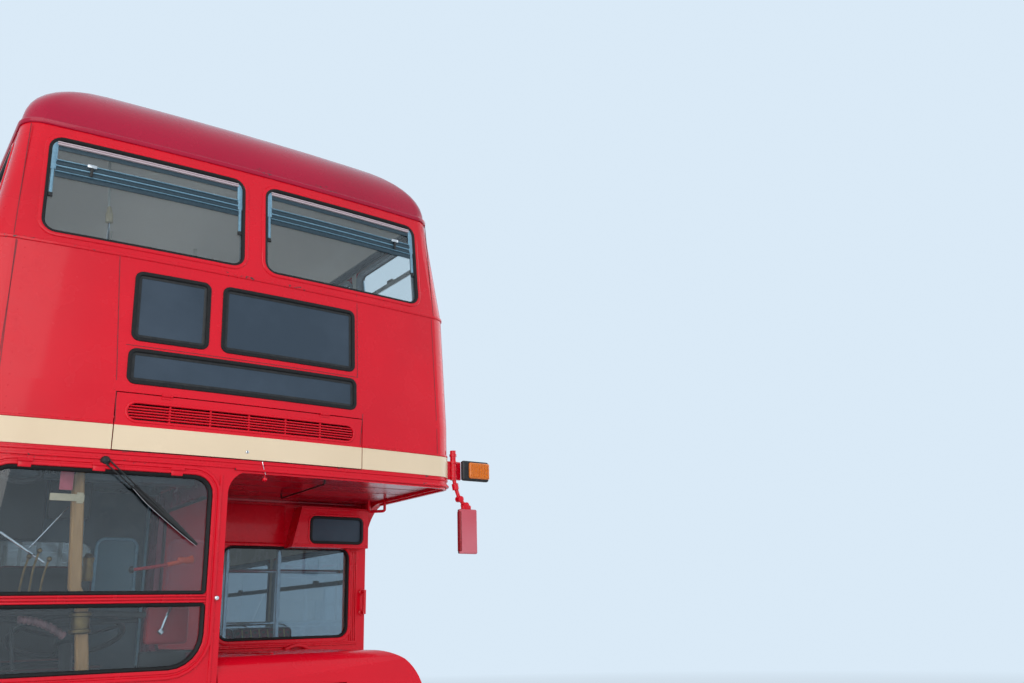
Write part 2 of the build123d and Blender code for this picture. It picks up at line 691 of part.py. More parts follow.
cab -= rounded_x(CAB_NEAR_WINDOW_Y, CAB_SIDE_WINDOW_Z, WINDOW_R, near_x)
door_opening_y = (DOOR_Y[0] + DOOR_LAP, DOOR_Y[1] - DOOR_LAP)
door_opening_z = (DOOR_Z[0] + DOOR_LAP, DOOR_Z[1] - DOOR_LAP)
cab -= block((-FAR, -HALF_WIDTH / 2), door_opening_y, door_opening_z)
save("cab_shell", cab)
near_pane_x = (CAB_INNER_X - SKIN - GLASS_T, CAB_INNER_X - SKIN)
pane_x = grown(SCREEN_X, POCKET - GLASS_GAP)
cab_panes = [glass_layer & block(pane_x, AHEAD, grown(z, -GLASS_GAP)) for z in screen_pockets]
cab_panes.append(side_pane(CAB_QUARTER_Y, CAB_SIDE_WINDOW_Z, -1, glass_layer))
cab_panes.append(rounded_x(CAB_NEAR_WINDOW_Y, CAB_SIDE_WINDOW_Z, WINDOW_R, near_pane_x))
save("cab_glazing", *cab_panes)

# Cab floor over the front wheel
cab_inside_x = (-FAR, CAB_INNER_X - WALL)
cab_floor_z = (CAB_FLOOR_Z - CAB_FLOOR_T, CAB_FLOOR_Z)
save("cab_floor", inner_hull & block(cab_inside_x, cab_y, cab_floor_z))

# Sliding cab door outside the wall, with the rails it runs on
door_out = -HALF_WIDTH - DOOR_CLEAR - DOOR_T
door_x = (door_out, door_out + DOOR_T)
door = block(door_x, DOOR_Y, DOOR_Z)
door_window_y = (DOOR_Y[0] + DOOR_WINDOW_MARGIN, DOOR_Y[1] - DOOR_WINDOW_MARGIN)
door_window_z = (CAB_SIDE_WINDOW_Z[0], DOOR_Z[1] - DOOR_WINDOW_MARGIN)
door -= rounded_x(door_window_y, door_window_z, WINDOW_R, grown(door_x, 1))
save("cab_door", door)
door_pane_x = (door_out + SKIN - GLASS_T, door_out + SKIN)
save("cab_door_glass", rounded_x(door_window_y, door_window_z, WINDOW_R, door_pane_x))
rails = []
for z in (DOOR_Z[0] - RAIL_H, DOOR_Z[1]):
    rail = block((door_out, 0), (DOOR_Y[0], DOOR_Y[1] + DOOR_TRAVEL), (z, z + RAIL_H))
    rails.append(rail - outer_hull)
save("door_rails", *rails)

# Nearside wing with the shelf that meets the bonnet side
wing_x = (COWL_X[1], FAR)
wing = wall & block(wing_x, cab_y, (SKIRT_Z, BONNET_LOW_Z - BONNET_GAP))
shelf_z = (BONNET_LOW_Z - BONNET_GAP - BONNET_T, BONNET_LOW_Z - BONNET_GAP)
wing += inner_hull & block((BONNET_SIDE_X - WALL, FAR), cab_y, shelf_z)
save("nearside_wing", wing - front_arch)

# Radiator cowl between the cab and the wing, and the grille in it
cowl_y = (FRONT_Y - COWL_PROUD, FRONT_Y + COWL_DEPTH)
cowl = block(COWL_X, cowl_y, (SKIRT_Z, COWL_TOP_Z))
cowl = fillet(cowl.edges().filter_by(Axis.X).group_by(Axis.Z)[-1].sort_by(Axis.Y)[:1], COWL_PROUD)
cowl = fillet(cowl.edges().filter_by(Axis.Z).group_by(Axis.Y)[0], COWL_PROUD / 2)
cowl -= block(grown(COWL_X, -GRILLE_MARGIN / 2), (cowl_y[0] + WALL, FAR), (0, COWL_TOP_Z - WALL))
grille_x = grown(COWL_X, -GRILLE_MARGIN)
grille_z = (GRILLE_LOW_Z, COWL_TOP_Z - GRILLE_MARGIN)
cowl -= block(grille_x, (-FAR, 0), grille_z)
save("front_cowl", cowl)
grille_y = (cowl_y[0] + GRILLE_EDGE, cowl_y[0] + WALL)
grille_open_x = grown(grille_x, -GRILLE_EDGE)
grille = block(grille_x, grille_y, grille_z)
grille -= block(grille_open_x, grown(grille_y, 1), grown(grille_z, -GRILLE_EDGE))
pitch = (grille_open_x[1] - grille_open_x[0]) / (GRILLE_SLATS + 1)
for n in range(GRILLE_SLATS):
    x = grille_open_x[0] + pitch * (n + 1)
    grille += block((x - SLAT_T / 2, x + SLAT_T / 2), grille_y, grille_z)
save("radiator_grille", grille)

# Intake flap: a curved panel with a slatted opening, hinged along its upper edge
flap = (outer_hull - hull(FLAP_T)) & block(flap_x, AHEAD, FLAP_Z)
slot_half, slot_low, slot_high = FLAP_GRILLE
slot_r = (slot_high - slot_low) / 2 - 1
flap -= rounded_y((-slot_half, slot_half), (slot_low, slot_high), slot_r, AHEAD)
slat_layer = hull(SLAT_T / 2) - hull(FLAP_T - SLAT_T / 2)
slat_gap = (slot_high - slot_low) / (FLAP_SLATS + 1)
for n in range(FLAP_SLATS):
    z = slot_low + slat_gap * (n + 1)
    slat_z = (z - SLAT_T / 2, z + SLAT_T / 2)
    flap += slat_layer & block(grown((-slot_half, slot_half), SLAT_ROOT), AHEAD, slat_z)
for n in range(FLAP_DIVIDERS):
    x = -slot_half + 2 * slot_half * (n + 1) / (FLAP_DIVIDERS + 1)
    divider_z = grown((slot_low, slot_high), SLAT_ROOT)
    flap += slat_layer & block((x - SLAT_T / 2, x + SLAT_T / 2), AHEAD, divider_z)
flap += leaf_hinges(FLAP_HINGE_X, FLAP_Z[1], -1)
save("intake_flap", flap)

# Number box that stands out of the bulkhead over the bonnet
top_x0, top_x1, top_z = NUMBER_BOX_TOP
low_x0, low_x1, low_z = NUMBER_BOX_LOW
box_corners = [(low_x0, low_z), (low_x1, low_z), (top_x1, top_z), (top_x0, top_z)]
box_plane = Plane(origin=(0, BULKHEAD_Y, 0), x_dir=(1, 0, 0), z_dir=(0, -1, 0))
number_box = extrude(box_plane * make_face(Polyline(*box_corners, close=True)), NUMBER_BOX_DEPTH)
blind_x = NUMBER_BOX_BLIND[:2]
blind_z = NUMBER_BOX_BLIND[2:]
box_front = BULKHEAD_Y - NUMBER_BOX_DEPTH
recess = rounded_y(blind_x, blind_z, BLIND_R, (box_front, box_front + SKIN))
save("number_box", (number_box - recess) & inner_hull)
blind_plates.append(rounded_y(blind_x, blind_z, BLIND_R, (box_front + SKIN - BLIND_T, box_front + SKIN)))
save("blinds", *blind_plates)

# Glazing of both decks
upper_panes = [side_pane(y, UPPER_WINDOW_Z, side, side_glass) for side in (1, -1) for y in upper_bays]
upper_panes += [front_pane(x, UPPER_WINDOW_Z, AHEAD) for x in front_windows]
save("upper_glazing", *upper_panes)
lower_panes = [side_pane(y, LOWER_WINDOW_Z, side, side_glass) for side in (1, -1) for y in bays]
lower_panes.append(front_pane(REAR_WINDOW_X, REAR_WINDOW_Z, BEHIND))
save("lower_glazing", *lower_panes, *bulkhead_panes)

# Emergency window in the upper rear wall, hinged along its upper edge
escape = (outer_hull - hull(ESCAPE_T)) & block(escape_x, BEHIND, ESCAPE_Z)
escape_glass_x = grown(escape_x, -ESCAPE_MARGIN)
escape_glass_z = grown(ESCAPE_Z, -ESCAPE_MARGIN)
escape = cut_front_window(escape, escape_glass_x, escape_glass_z, BEHIND)
escape += leaf_hinges(ESCAPE_HINGE_X, ESCAPE_Z[1], 1)
save("emergency_window", escape)
save("emergency_glass", front_pane(escape_glass_x, escape_glass_z, BEHIND))

# Lower floor with boxes over the rear wheels
floor_z = (LOWER_FLOOR_Z - LOWER_FLOOR_T, LOWER_FLOOR_Z)
lower_floor = inner_hull & block(ALL_X, (BULKHEAD_Y, ENTRANCE_Y), floor_z)
# Wheel boxes: inner side, y limits and top
wheel_boxes = [
    (FRONT_BOX_X, (BULKHEAD_Y + BULKHEAD_T, FRONT_AXLE_Y + ARCH_R + WHEEL_BOX_T), FRONT_BOX_Z),
    (WHEEL_BOX_X, grown((REAR_AXLE_Y, REAR_AXLE_Y), ARCH_R + WHEEL_BOX_T), WHEEL_BOX_Z),
]
for inner_x, box_y, top_z in wheel_boxes:
    hole_y = grown(box_y, -WHEEL_BOX_T) if box_y[0] > 0 else (-FAR, box_y[1] - WHEEL_BOX_T)
    for x, hole_x in (
        ((inner_x, FAR), (inner_x + WHEEL_BOX_T, FAR)),
        ((-FAR, -inner_x), (-FAR, -inner_x - WHEEL_BOX_T)),
    ):
        lower_floor += inner_hull & block(x, box_y, (LOWER_FLOOR_Z, top_z))
        lower_floor -= block(hole_x, hole_y, (0, top_z - WHEEL_BOX_T))
save("lower_floor", lower_floor)

# Rear platform and the step up to the floor
platform = inner_hull & block(ALL_X, (ENTRANCE_Y, FAR), (SKIRT_Z, PLATFORM_Z))
platform_edge = outer_hull & block(NEARSIDE, (ENTRANCE_Y, rear_join), (SKIRT_Z, PLATFORM_Z))
riser = inner_hull & block(ALL_X, (ENTRANCE_Y, ENTRANCE_Y + RISER_T), (SKIRT_Z, LOWER_FLOOR_Z))
save("platform", platform + platform_edge + riser)

# Staircase: winders round the newel in the rear corner, then a straight flight forward
rise = (UPPER_FLOOR_Z - PLATFORM_Z) / STAIR_RISERS
stair_x = (STAIR_WALL_X - 1, STAIR_X)
steps = []
for n in range(STAIR_RISERS - 1):
    top = PLATFORM_Z + rise * (n + 1)
    if n < STAIR_WINDERS:
        start = 90.0 + 90.0 * n / STAIR_WINDERS
        finish = 90.0 + 90.0 * (n + 1) / STAIR_WINDERS
        corners = [(0, 0)]
        corners += [
            (FAR * math.cos(math.radians(a)), FAR * math.sin(math.radians(a))) for a in (start, finish)
        ]
        wedge = Pos(STAIR_X, STAIR_NEWEL_Y, 0) * make_face(Polyline(*corners, close=True))
        step = Pos(0, 0, top - rise - STAIR_SLAB) * extrude(wedge, rise + STAIR_SLAB)
    else:
        rear = STAIR_NEWEL_Y - STAIR_GOING * (n - STAIR_WINDERS)
        step = block(stair_x, (rear - STAIR_GOING, rear), (top - rise - STAIR_SLAB, top))
    steps.append(step)
well = block((STAIR_WALL_X, STAIR_X), (0, STAIR_REAR_Y), (PLATFORM_Z, UPPER_FLOOR_Z))
well_corner = well.edges().filter_by(Axis.Z).group_by(Axis.Y)[-1].sort_by(Axis.X)[:1]
well = fillet(well_corner, CORNER_R - WALL)
stairs = steps[0] & well
for step in steps[1:]:
    stairs += step & well
panel_y = (stair_front_y, STAIR_NEWEL_Y)
panel_x = (STAIR_X, STAIR_X + STAIR_PANEL_T)
stairs += block(panel_x, panel_y, (LOWER_FLOOR_Z, UPPER_FLOOR_Z - UPPER_FLOOR_T))
newel_x = (STAIR_X - NEWEL_W / 2, panel_x[1])
newel_y = grown((STAIR_NEWEL_Y, STAIR_NEWEL_Y), NEWEL_W / 2)
stairs += block(newel_x, newel_y, (PLATFORM_Z, UPPER_FLOOR_Z - UPPER_FLOOR_T))
save("staircase", stairs)


def seat(x, y, floor):
    """Cushion, squab and frame of one forward-facing double seat, centred on x with its front edge at y."""
    width = (x - SEAT_W / 2, x + SEAT_W / 2)
    leg_x = grown(width, -LEG_INSET)
    low = floor + SEAT_H - CUSHION_T
    high = low + CUSHION_T + BACK_H
    rear = y + SEAT_D
    cushion = block(width, (y, rear), (low, low + CUSHION_T))
    squab = block(width, (rear, rear + BACK_T), (low + CUSHION_T, high))
    front_leg = block(leg_x, (y + LEG_INSET, y + LEG_INSET + FRAME_T), (floor, low))
    rear_leg = block(leg_x, (rear - LEG_INSET, rear - LEG_INSET + FRAME_T), (floor, low))
    back = block(width, (rear + BACK_T, rear + BACK_T + FRAME_T), (low, high))
    return [cushion, squab], [front_leg, rear_leg, back]


# Seats of both decks: floor, first row, rows on the nearside, rows on the offside, distance from the wall
frames, cushions = [], []
seat_rows = [
    (LOWER_FLOOR_Z, BULKHEAD_Y + FIRST_LOWER_ROW, LOWER_ROWS, LOWER_ROWS, SEAT_WALL_GAP),
    (UPPER_FLOOR_Z, FRONT_Y + FIRST_UPPER_ROW, UPPER_ROWS, UPPER_ROWS - 2, UPPER_SEAT_GAP),
]
for floor, first_y, near_rows, off_rows, gap in seat_rows:
    seat_x = HALF_WIDTH - WALL - gap - SEAT_W / 2
    for side, rows in ((1, near_rows), (-1, off_rows)):
        for n in range(rows):
            soft, hard = seat(side * seat_x, first_y + SEAT_PITCH * n, floor)
            cushions += soft
            frames += hard

# Long benches over the rear wheels
bench_x = (WHEEL_BOX_X + WHEEL_BOX_T, WHEEL_BOX_X + WHEEL_BOX_T + BENCH_D)
bench_y = (REAR_AXLE_Y - BENCH_LENGTH / 2, REAR_AXLE_Y + BENCH_LENGTH / 2)
bench_top = WHEEL_BOX_Z + CUSHION_T
bench = block(bench_x, bench_y, (WHEEL_BOX_Z, bench_top))
bench_back = block((bench_x[1], bench_x[1] + BACK_T), bench_y, (bench_top, bench_top + BENCH_BACK_H))
cushions += both_sides(bench) + both_sides(bench_back)

# Driver's seat on its box
driver_x = (DRIVER_X - DRIVER_SEAT_W / 2, DRIVER_X + DRIVER_SEAT_W / 2)
driver_low = CAB_FLOOR_Z + DRIVER_BOX_H
driver_top = driver_low + CUSHION_T
driver_back_y = (DRIVER_SEAT_Y[1] - BACK_T, DRIVER_SEAT_Y[1])
driver_box_x = grown(driver_x, -LEG_INSET)
frames.append(block(driver_box_x, grown(DRIVER_SEAT_Y, -LEG_INSET), (CAB_FLOOR_Z, driver_low)))
cushions.append(block(driver_x, DRIVER_SEAT_Y, (driver_low, driver_top)))
cushions.append(block(driver_x, driver_back_y, (driver_top, driver_top + BACK_H)))
save("seat_frames", *frames)
save("seat_cushions", *cushions)

# Chassis rails of channel section, cross-members and tow eyes
rail_top = LOWER_FLOOR_Z - LOWER_FLOOR_T
rail_z = (rail_top - CHASSIS_RAIL_H, rail_top)
rail_y = (FRONT_Y + WALL + FACE_BOW + RAIL_SETBACK, ENTRANCE_Y)
channel = block((RAIL_X, RAIL_X + RAIL_W), rail_y, rail_z)
channel -= block((RAIL_X + RAIL_T, FAR), grown(rail_y, 1), grown(rail_z, -RAIL_T))
frame = channel + mirror(channel, about=Plane.YZ)
cross_x = (-RAIL_X - RAIL_T, RAIL_X + RAIL_T)
cross_z = (rail_top - CROSS_W, rail_top - RAIL_T)
cross_y = [BULKHEAD_Y + behind for behind in CROSS_MEMBERS]
for y in (rail_y[0] + CROSS_W, *cross_y, ENTRANCE_Y - CROSS_W):
    frame += block(cross_x, (y, y + CROSS_W), cross_z)
axle_notch_z = rail_top - CROSS_W
frame -= block(ALL_X, grown((REAR_AXLE_Y, REAR_AXLE_Y), AXLE_NOTCH), (0, axle_notch_z))
tow_y = (rail_y[0] - RAIL_SETBACK, rail_y[0] + RAIL_W)
tow = block((RAIL_X, RAIL_X + RAIL_W), tow_y, (rail_z[0] - TOW_EYE_T, rail_z[0]))
tow -= cylinder_z(RAIL_X + RAIL_W / 2, tow_y[0] + 2 * TOW_EYE_R, (0, FAR), TOW_EYE_R)
for piece in both_sides(tow):
    frame += piece
save("chassis", frame)

# Engine as one block, gearbox, propeller shaft and tank
save("engine", block((ENGINE_X, RAIL_X), ENGINE_Y, (rail_top - CROSS_W, ENGINE_TOP_Z)))
gearbox = block((-GEARBOX_HALF_W, GEARBOX_HALF_W), GEARBOX_Y, (rail_z[0], rail_top - RAIL_T))
shaft_end = (0, REAR_AXLE_Y - PINION_NOSE - PIN_GAP, TYRE_R)
shaft = rod((0, GEARBOX_Y[1], rail_z[0] + SHAFT_R), shaft_end, SHAFT_R)
save("driveline", gearbox, shaft)
save("fuel_tank", block((TANK_X, -RAIL_X - RAIL_W - SHAFT_R), TANK_Y, (SKIRT_Z, rail_top)))

# Front axle: a beam with a yoke round each steering knuckle, hung from the rails by spring pads
axle_y = (FRONT_AXLE_Y - YOKE_W / 2, FRONT_AXLE_Y + YOKE_W / 2)
arm_z = (TYRE_R - YOKE_DROP, TYRE_R + KNUCKLE_H / 2 + YOKE_PLAY)
yoke_x = (KINGPIN_X - YOKE_DEPTH, KINGPIN_X - YOKE_DEPTH + BEAM_R)
yoke = block(yoke_x, axle_y, (BEAM_Z - BEAM_R, arm_z[1] + 2 * YOKE_ARM_T))
for z in arm_z:
    yoke += block((yoke_x[0], KINGPIN_X + YOKE_ARM_T), axle_y, (z, z + YOKE_ARM_T))
yoke -= cylinder_z(KINGPIN_X, FRONT_AXLE_Y, (0, FAR), KINGPIN_R + PIN_FIT)
front_axle = cylinder_x((-yoke_x[0] - 1, yoke_x[0] + 1), FRONT_AXLE_Y, BEAM_Z, BEAM_R)
pad_x = (RAIL_X + RAIL_W / 2 - SPRING_W / 2, RAIL_X + RAIL_W / 2 + SPRING_W / 2)
pad = block(pad_x, (FRONT_AXLE_Y - SPRING_W, FRONT_AXLE_Y + SPRING_W), (BEAM_Z, rail_z[0]))
for piece in both_sides(yoke) + both_sides(pad):
    front_axle += piece
save("front_axle", front_axle)

# Steering knuckles with kingpin and spindle
knuckle = cylinder_z(KINGPIN_X, FRONT_AXLE_Y, (TYRE_R - YOKE_DROP, TYRE_R + YOKE_DROP), KINGPIN_R)
knuckle_z = (TYRE_R - KNUCKLE_H / 2, TYRE_R + KNUCKLE_H / 2)
knuckle_x = (KINGPIN_X - KINGPIN_R, KINGPIN_X + SPINDLE_R)
knuckle += block(knuckle_x, (FRONT_AXLE_Y - BEAM_R, FRONT_AXLE_Y + BEAM_R), knuckle_z)
spindle_end = FRONT_WHEEL_X + SPINDLE_REACH
knuckle += cylinder_x((KINGPIN_X + KINGPIN_R, spindle_end), FRONT_AXLE_Y, TYRE_R, SPINDLE_R)
save("nearside_knuckle", knuckle)
save("offside_knuckle", mirror(knuckle, about=Plane.YZ))


def tyre(x, y, shoulder):
    """Tyre centred on x, its outer shoulder cut back by an amount."""
    ring = cylinder_x((x - TYRE_W / 2, x + TYRE_W / 2), y, TYRE_R, TYRE_R)
    if shoulder:
        ring = chamfer(ring.edges().filter_by(GeomType.CIRCLE).sort_by(Axis.X)[-1:], shoulder)
    return ring - cylinder_x((0, FAR), y, TYRE_R, RIM_R)


def wheel(x, y, plate_x, hollows):
    """Rim and centre plate of one wheel centred on x, hollow on the inner (-1) and outer (1) sides named."""
    rim_x = grown((x, x), TYRE_W / 2 - RIM_INSET)
    rim = cylinder_x(rim_x, y, TYRE_R, RIM_R)
    if 1 in hollows:
        rim -= cylinder_x((plate_x + PLATE_T, FAR), y, TYRE_R, RIM_R - RIM_T)
    if -1 in hollows:
        rim -= cylinder_x((0, plate_x), y, TYRE_R, RIM_R - RIM_T)
    return rim


# Front wheels on their spindles
front_wheel = wheel(FRONT_WHEEL_X, FRONT_AXLE_Y, FRONT_WHEEL_X + FRONT_DISH, (1, -1))
hub_end = spindle_end + RIM_T
hub_start = KINGPIN_X + FRONT_NECK_REACH
front_wheel += cylinder_x((KINGPIN_X + BEAM_R, hub_end), FRONT_AXLE_Y, TYRE_R, FRONT_NECK_R)
front_wheel += cylinder_x((hub_start, hub_end), FRONT_AXLE_Y, TYRE_R, FRONT_HUB_R)
front_wheel -= cylinder_x((0, spindle_end + PIN_GAP), FRONT_AXLE_Y, TYRE_R, SPINDLE_R + PIN_FIT)
save("nearside_front_wheel", front_wheel)
save("offside_front_wheel", mirror(front_wheel, about=Plane.YZ))
front_tyre = tyre(FRONT_WHEEL_X, FRONT_AXLE_Y, TYRE_SHOULDER)
save("nearside_front_tyre", front_tyre)
save("offside_front_tyre", mirror(front_tyre, about=Plane.YZ))

# Twin rear wheels: the inner plate bulges out and the outer plate in, so that they meet on one hub
inner_x, outer_x = REAR_WHEEL_X
axle_end = outer_x - AXLE_END_INSET
rear_wheel = wheel(inner_x, REAR_AXLE_Y, inner_x + REAR_DISH, (-1,))
rear_wheel += wheel(outer_x, REAR_AXLE_Y, outer_x - REAR_DISH - PLATE_T, (1,))
rear_wheel += cylinder_x((inner_x + REAR_DISH, axle_end + RIM_T), REAR_AXLE_Y, TYRE_R, REAR_HUB_R)
rear_wheel -= cylinder_x((0, axle_end + PIN_GAP), REAR_AXLE_Y, TYRE_R, HALF_SHAFT_R + PIN_FIT)
save("nearside_rear_wheels", rear_wheel)
save("offside_rear_wheels", mirror(rear_wheel, about=Plane.YZ))
rear_tyres = [tyre(inner_x, REAR_AXLE_Y, 0), tyre(outer_x, REAR_AXLE_Y, TYRE_SHOULDER)]
save("nearside_rear_tyres", *rear_tyres)
save("offside_rear_tyres", *[mirror(piece, about=Plane.YZ) for piece in rear_tyres])

# Rear axle with its final drive and pinion nose
rear_axle = cylinder_x((-axle_end, axle_end), REAR_AXLE_Y, TYRE_R, HALF_SHAFT_R)
rear_axle += cylinder_x((-AXLE_CASE_X, AXLE_CASE_X), REAR_AXLE_Y, TYRE_R, AXLE_CASE_R)
rear_axle += Pos(0, REAR_AXLE_Y, TYRE_R) * Cylinder(FINAL_DRIVE_R, 2 * FINAL_DRIVE_H)
rear_axle += rod((0, REAR_AXLE_Y, TYRE_R), (0, REAR_AXLE_Y - PINION_NOSE, TYRE_R), PINION_R)
rear_pad = block(pad_x, (REAR_AXLE_Y - SPRING_W, REAR_AXLE_Y + SPRING_W), (TYRE_R, axle_notch_z))
for piece in both_sides(rear_pad):
    rear_axle += piece
save("rear_axle", rear_axle)

# Steering column and wheel
tilt = math.radians(COLUMN_TILT)
direction = (0, math.sin(tilt), math.cos(tilt))
run = (STEERING_Z - CAB_FLOOR_Z) / direction[2] + COLUMN_R / 2
centre = (DRIVER_X, STEERING_Y, STEERING_Z)
foot = tuple(c - d * run for c, d in zip(centre, direction))
head = tuple(c - d * (BOSS_H + PIN_GAP) for c, d in zip(centre, direction))
save("steering_column", rod(foot, head, COLUMN_R) - block(ALL_X, (-FAR, FAR), (0, CAB_FLOOR_Z)))
wheel_plane = Plane(origin=centre, x_dir=(1, 0, 0), z_dir=direction)
ring = Cylinder(STEERING_R + STEERING_RIM / 2, STEERING_RIM) - Cylinder(
    STEERING_R - STEERING_RIM / 2, 2 * STEERING_RIM
)
steering_wheel = ring + Pos(0, 0, -BOSS_H / 2) * Cylinder(BOSS_R, BOSS_H)
spoke_reach = STEERING_R - BOSS_R / 2
for n in range(3):
    spoke = Pos(BOSS_R / 2 + spoke_reach / 2, 0, 0) * Box(spoke_reach, STEERING_RIM, STEERING_RIM / 2)
    steering_wheel += Rot(0, 0, 90 + 120 * n) * spoke
save("steering_wheel", wheel_plane * steering_wheel)

# Lamps: x, z, radius, how far each stands out, and the end of the bus it is on
LAMPS = [
    (HEADLAMP_X, HEADLAMP_Z, HEADLAMP_R, HEADLAMP_OUT, -1),
    (SIDE_LAMP_X, SIDE_LAMP_Z, SIDE_LAMP_R, SIDE_LAMP_OUT, -1),
    (SIDE_LAMP_X, TAIL_LAMP_Z, SIDE_LAMP_R, SIDE_LAMP_OUT, 1),
]
lamps = []
for x, z, radius, out, end in LAMPS:
    face = face_y(x, z, end)
    lamp = cylinder_y(x, sorted((face + end * out, face - end * WALL)), z, radius)
    lamps += both_sides(lamp - outer_hull)
save("lamps", *lamps)

# Amber indicators on ears at the canopy corners
save("indicators", *both_sides(block(EAR_X, (EAR_Y - EAR_D, EAR_Y), EAR_Z)))

# Mirrors on jointed arms under the ears, each ear on a bracket plate from the band
arm_y = EAR_Y - EAR_D / 2
mirror_mid = sum(MIRROR_X) / 2
mirror_piece = block(MIRROR_X, (arm_y - MIRROR_T, arm_y), MIRROR_Z)
bracket_y = (EAR_Y, EAR_Y + BRACKET_T)
bracket = block((HALF_WIDTH - CORNER_R, EAR_X[0] + BRACKET_LAP), bracket_y, EAR_Z)
mirror_piece += bracket - band_hull
arm_points = [
    (EAR_X[0] - ARM_OFFSET, EAR_Y, EAR_Z[0] + ARM_R),
    (EAR_X[0] - ARM_OFFSET, arm_y, EAR_Z[0] - ARM_DROP),
    (mirror_mid, arm_y, MIRROR_Z[1] + ARM_OFFSET),
    (mirror_mid, arm_y, MIRROR_Z[1] - ARM_R),
]
for start, end in zip(arm_points, arm_points[1:]):
    mirror_piece += rod(start, end, ARM_R)
for x, y, z in arm_points[:3]:
    mirror_piece += Pos(x, y, z) * Box(3 * ARM_R, 3 * ARM_R, 3 * ARM_R)
save("mirrors", *both_sides(mirror_piece))

# Wiper over the upper windscreen, on its spindle
wiper_y = FRONT_Y - WIPER_OUT
pivot_x, pivot_z = WIPER_PIVOT
tip_x, tip_z = WIPER_TIP
spindle = cylinder_y(pivot_x, (wiper_y - 2 * WIPER_R, FRONT_Y + FACE_BOW), pivot_z, 2 * WIPER_R) - outer_hull
wiper = spindle + rod((pivot_x, wiper_y, pivot_z), (tip_x, wiper_y, tip_z), WIPER_R)
save("wiper", wiper)

# Grab rails: the platform pole, and the handle ahead of the nearside corner post
pole_z = (PLATFORM_Z, UPPER_FLOOR_Z - UPPER_FLOOR_T)
pole = cylinder_z(HALF_WIDTH - POLE_INSET, (ENTRANCE_Y + rear_join) / 2, pole_z, POLE_R)
handle_x = HALF_WIDTH - WALL / 2
handle_y = BULKHEAD_Y - HANDLE_OUT
handle = cylinder_z(handle_x, handle_y, HANDLE_Z, HANDLE_R)
for z in grown(HANDLE_Z, -HANDLE_R):
    handle += rod((handle_x, BULKHEAD_Y, z), (handle_x, handle_y, z), HANDLE_R)
save("grab_rails", pole, handle)
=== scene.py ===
import json
from collections import namedtuple
from math import asin, ceil, copysign, cos, dist, inf, pi, radians, sin, sqrt

import bmesh
import bpy
from mathutils import Matrix, Vector


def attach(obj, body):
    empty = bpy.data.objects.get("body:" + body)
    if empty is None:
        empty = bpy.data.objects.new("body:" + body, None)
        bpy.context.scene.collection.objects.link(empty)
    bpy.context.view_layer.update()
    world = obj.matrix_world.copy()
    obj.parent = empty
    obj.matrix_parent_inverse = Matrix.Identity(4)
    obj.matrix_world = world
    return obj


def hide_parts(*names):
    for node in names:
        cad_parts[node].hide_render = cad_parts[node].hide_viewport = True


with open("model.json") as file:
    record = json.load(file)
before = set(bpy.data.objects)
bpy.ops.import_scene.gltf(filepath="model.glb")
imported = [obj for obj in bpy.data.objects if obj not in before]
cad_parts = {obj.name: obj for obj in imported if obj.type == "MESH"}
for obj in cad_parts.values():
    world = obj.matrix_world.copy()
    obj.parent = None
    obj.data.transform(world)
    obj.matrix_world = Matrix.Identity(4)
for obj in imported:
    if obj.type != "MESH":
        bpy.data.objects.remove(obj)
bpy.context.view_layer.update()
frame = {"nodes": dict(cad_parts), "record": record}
NODES = frame["nodes"]

# Body surface in metres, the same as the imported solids
LENGTH = 8.380
HALF_WIDTH = 1.219
FACE_BOW = 0.055
CORNER_R = 0.100
STEP = 0.12  # longest straight part of a moulding on the bowed ends
LEAN_Z = 2.640  # the walls stand upright up to here
WAIST_Z = 3.297
SILL_Z = 1.262  # moulding under the lower windows
CANT_Z = 3.950  # the roof starts here
# Height, half width, front set-back, rear set-back
SECTIONS = [
    (0.380, HALF_WIDTH, 0.0, 0.0),
    (LEAN_Z, HALF_WIDTH, 0.0, 0.0),
    (WAIST_Z, HALF_WIDTH - 0.013, 0.036, 0.020),
    (CANT_Z, HALF_WIDTH - 0.092, 0.112, 0.090),
]
FRONT_Y = -LENGTH / 2
REAR_Y = LENGTH / 2
BULKHEAD_Y = -3.100
ENTRANCE_Y = 2.580
CAB_INNER_X = -0.085
PILLAR_PITCH = 1.42
PILLAR_HALF = 0.05
PILLARS = [BULKHEAD_Y + PILLAR_PITCH * n for n in range(5)]
BAYS = [(a + PILLAR_HALF, b - PILLAR_HALF) for a, b in zip(PILLARS, PILLARS[1:])]
UPPER_BAYS = [(-3.880, PILLARS[0] - PILLAR_HALF), *BAYS, (PILLARS[-1] + PILLAR_HALF, 3.900)]
LOWER_Z = (1.370, 2.050)
UPPER_Z = (3.356, 3.863)
WINDOW_R = 0.060
FRONT_WINDOWS = [(0.061, 1.004), (-1.004, -0.061)]
REAR_WINDOW = ((0.180, 0.980), (1.400, 2.040))
NUMBER_BOX = ((0.786, 1.130), (2.060, 2.212))
BLINDS = [  # number, via and destination
    ((-0.574, -0.228), (2.882, 3.219)), ((-0.152, 0.570), (2.882, 3.219)), ((-0.579, 0.579), (2.671, 2.829)),
]
BLIND_R = 0.030
CAB_WINDOW_Z = (1.470, 2.200)
CAB_PANE = ((-0.400, -0.190), (1.720, 2.060), 0.045)
SCREEN_X = (-1.085, -0.166)
SCREEN_Z = (1.411, 2.254)
RAIL_Z = (1.684, 1.726)
BULK_X = (0.292, 1.098)
BULK_Z = (1.509, 2.035)
ROOF_RISE = 0.431
ROOF_RUN = 0.624
UPPER_FLOOR_Z = 2.400
LOWER_FLOOR_Z = 0.680
FRONT_AXLE_Y = -3.390
REAR_AXLE_Y = 1.741
AXLE_Z = 0.510
ARCH_BEAD_R = 0.600
DOOR_X = -1.249
DOOR_PATH_END = -2.560  # how far back the open cab door reaches
SIDES = ("near", "off")
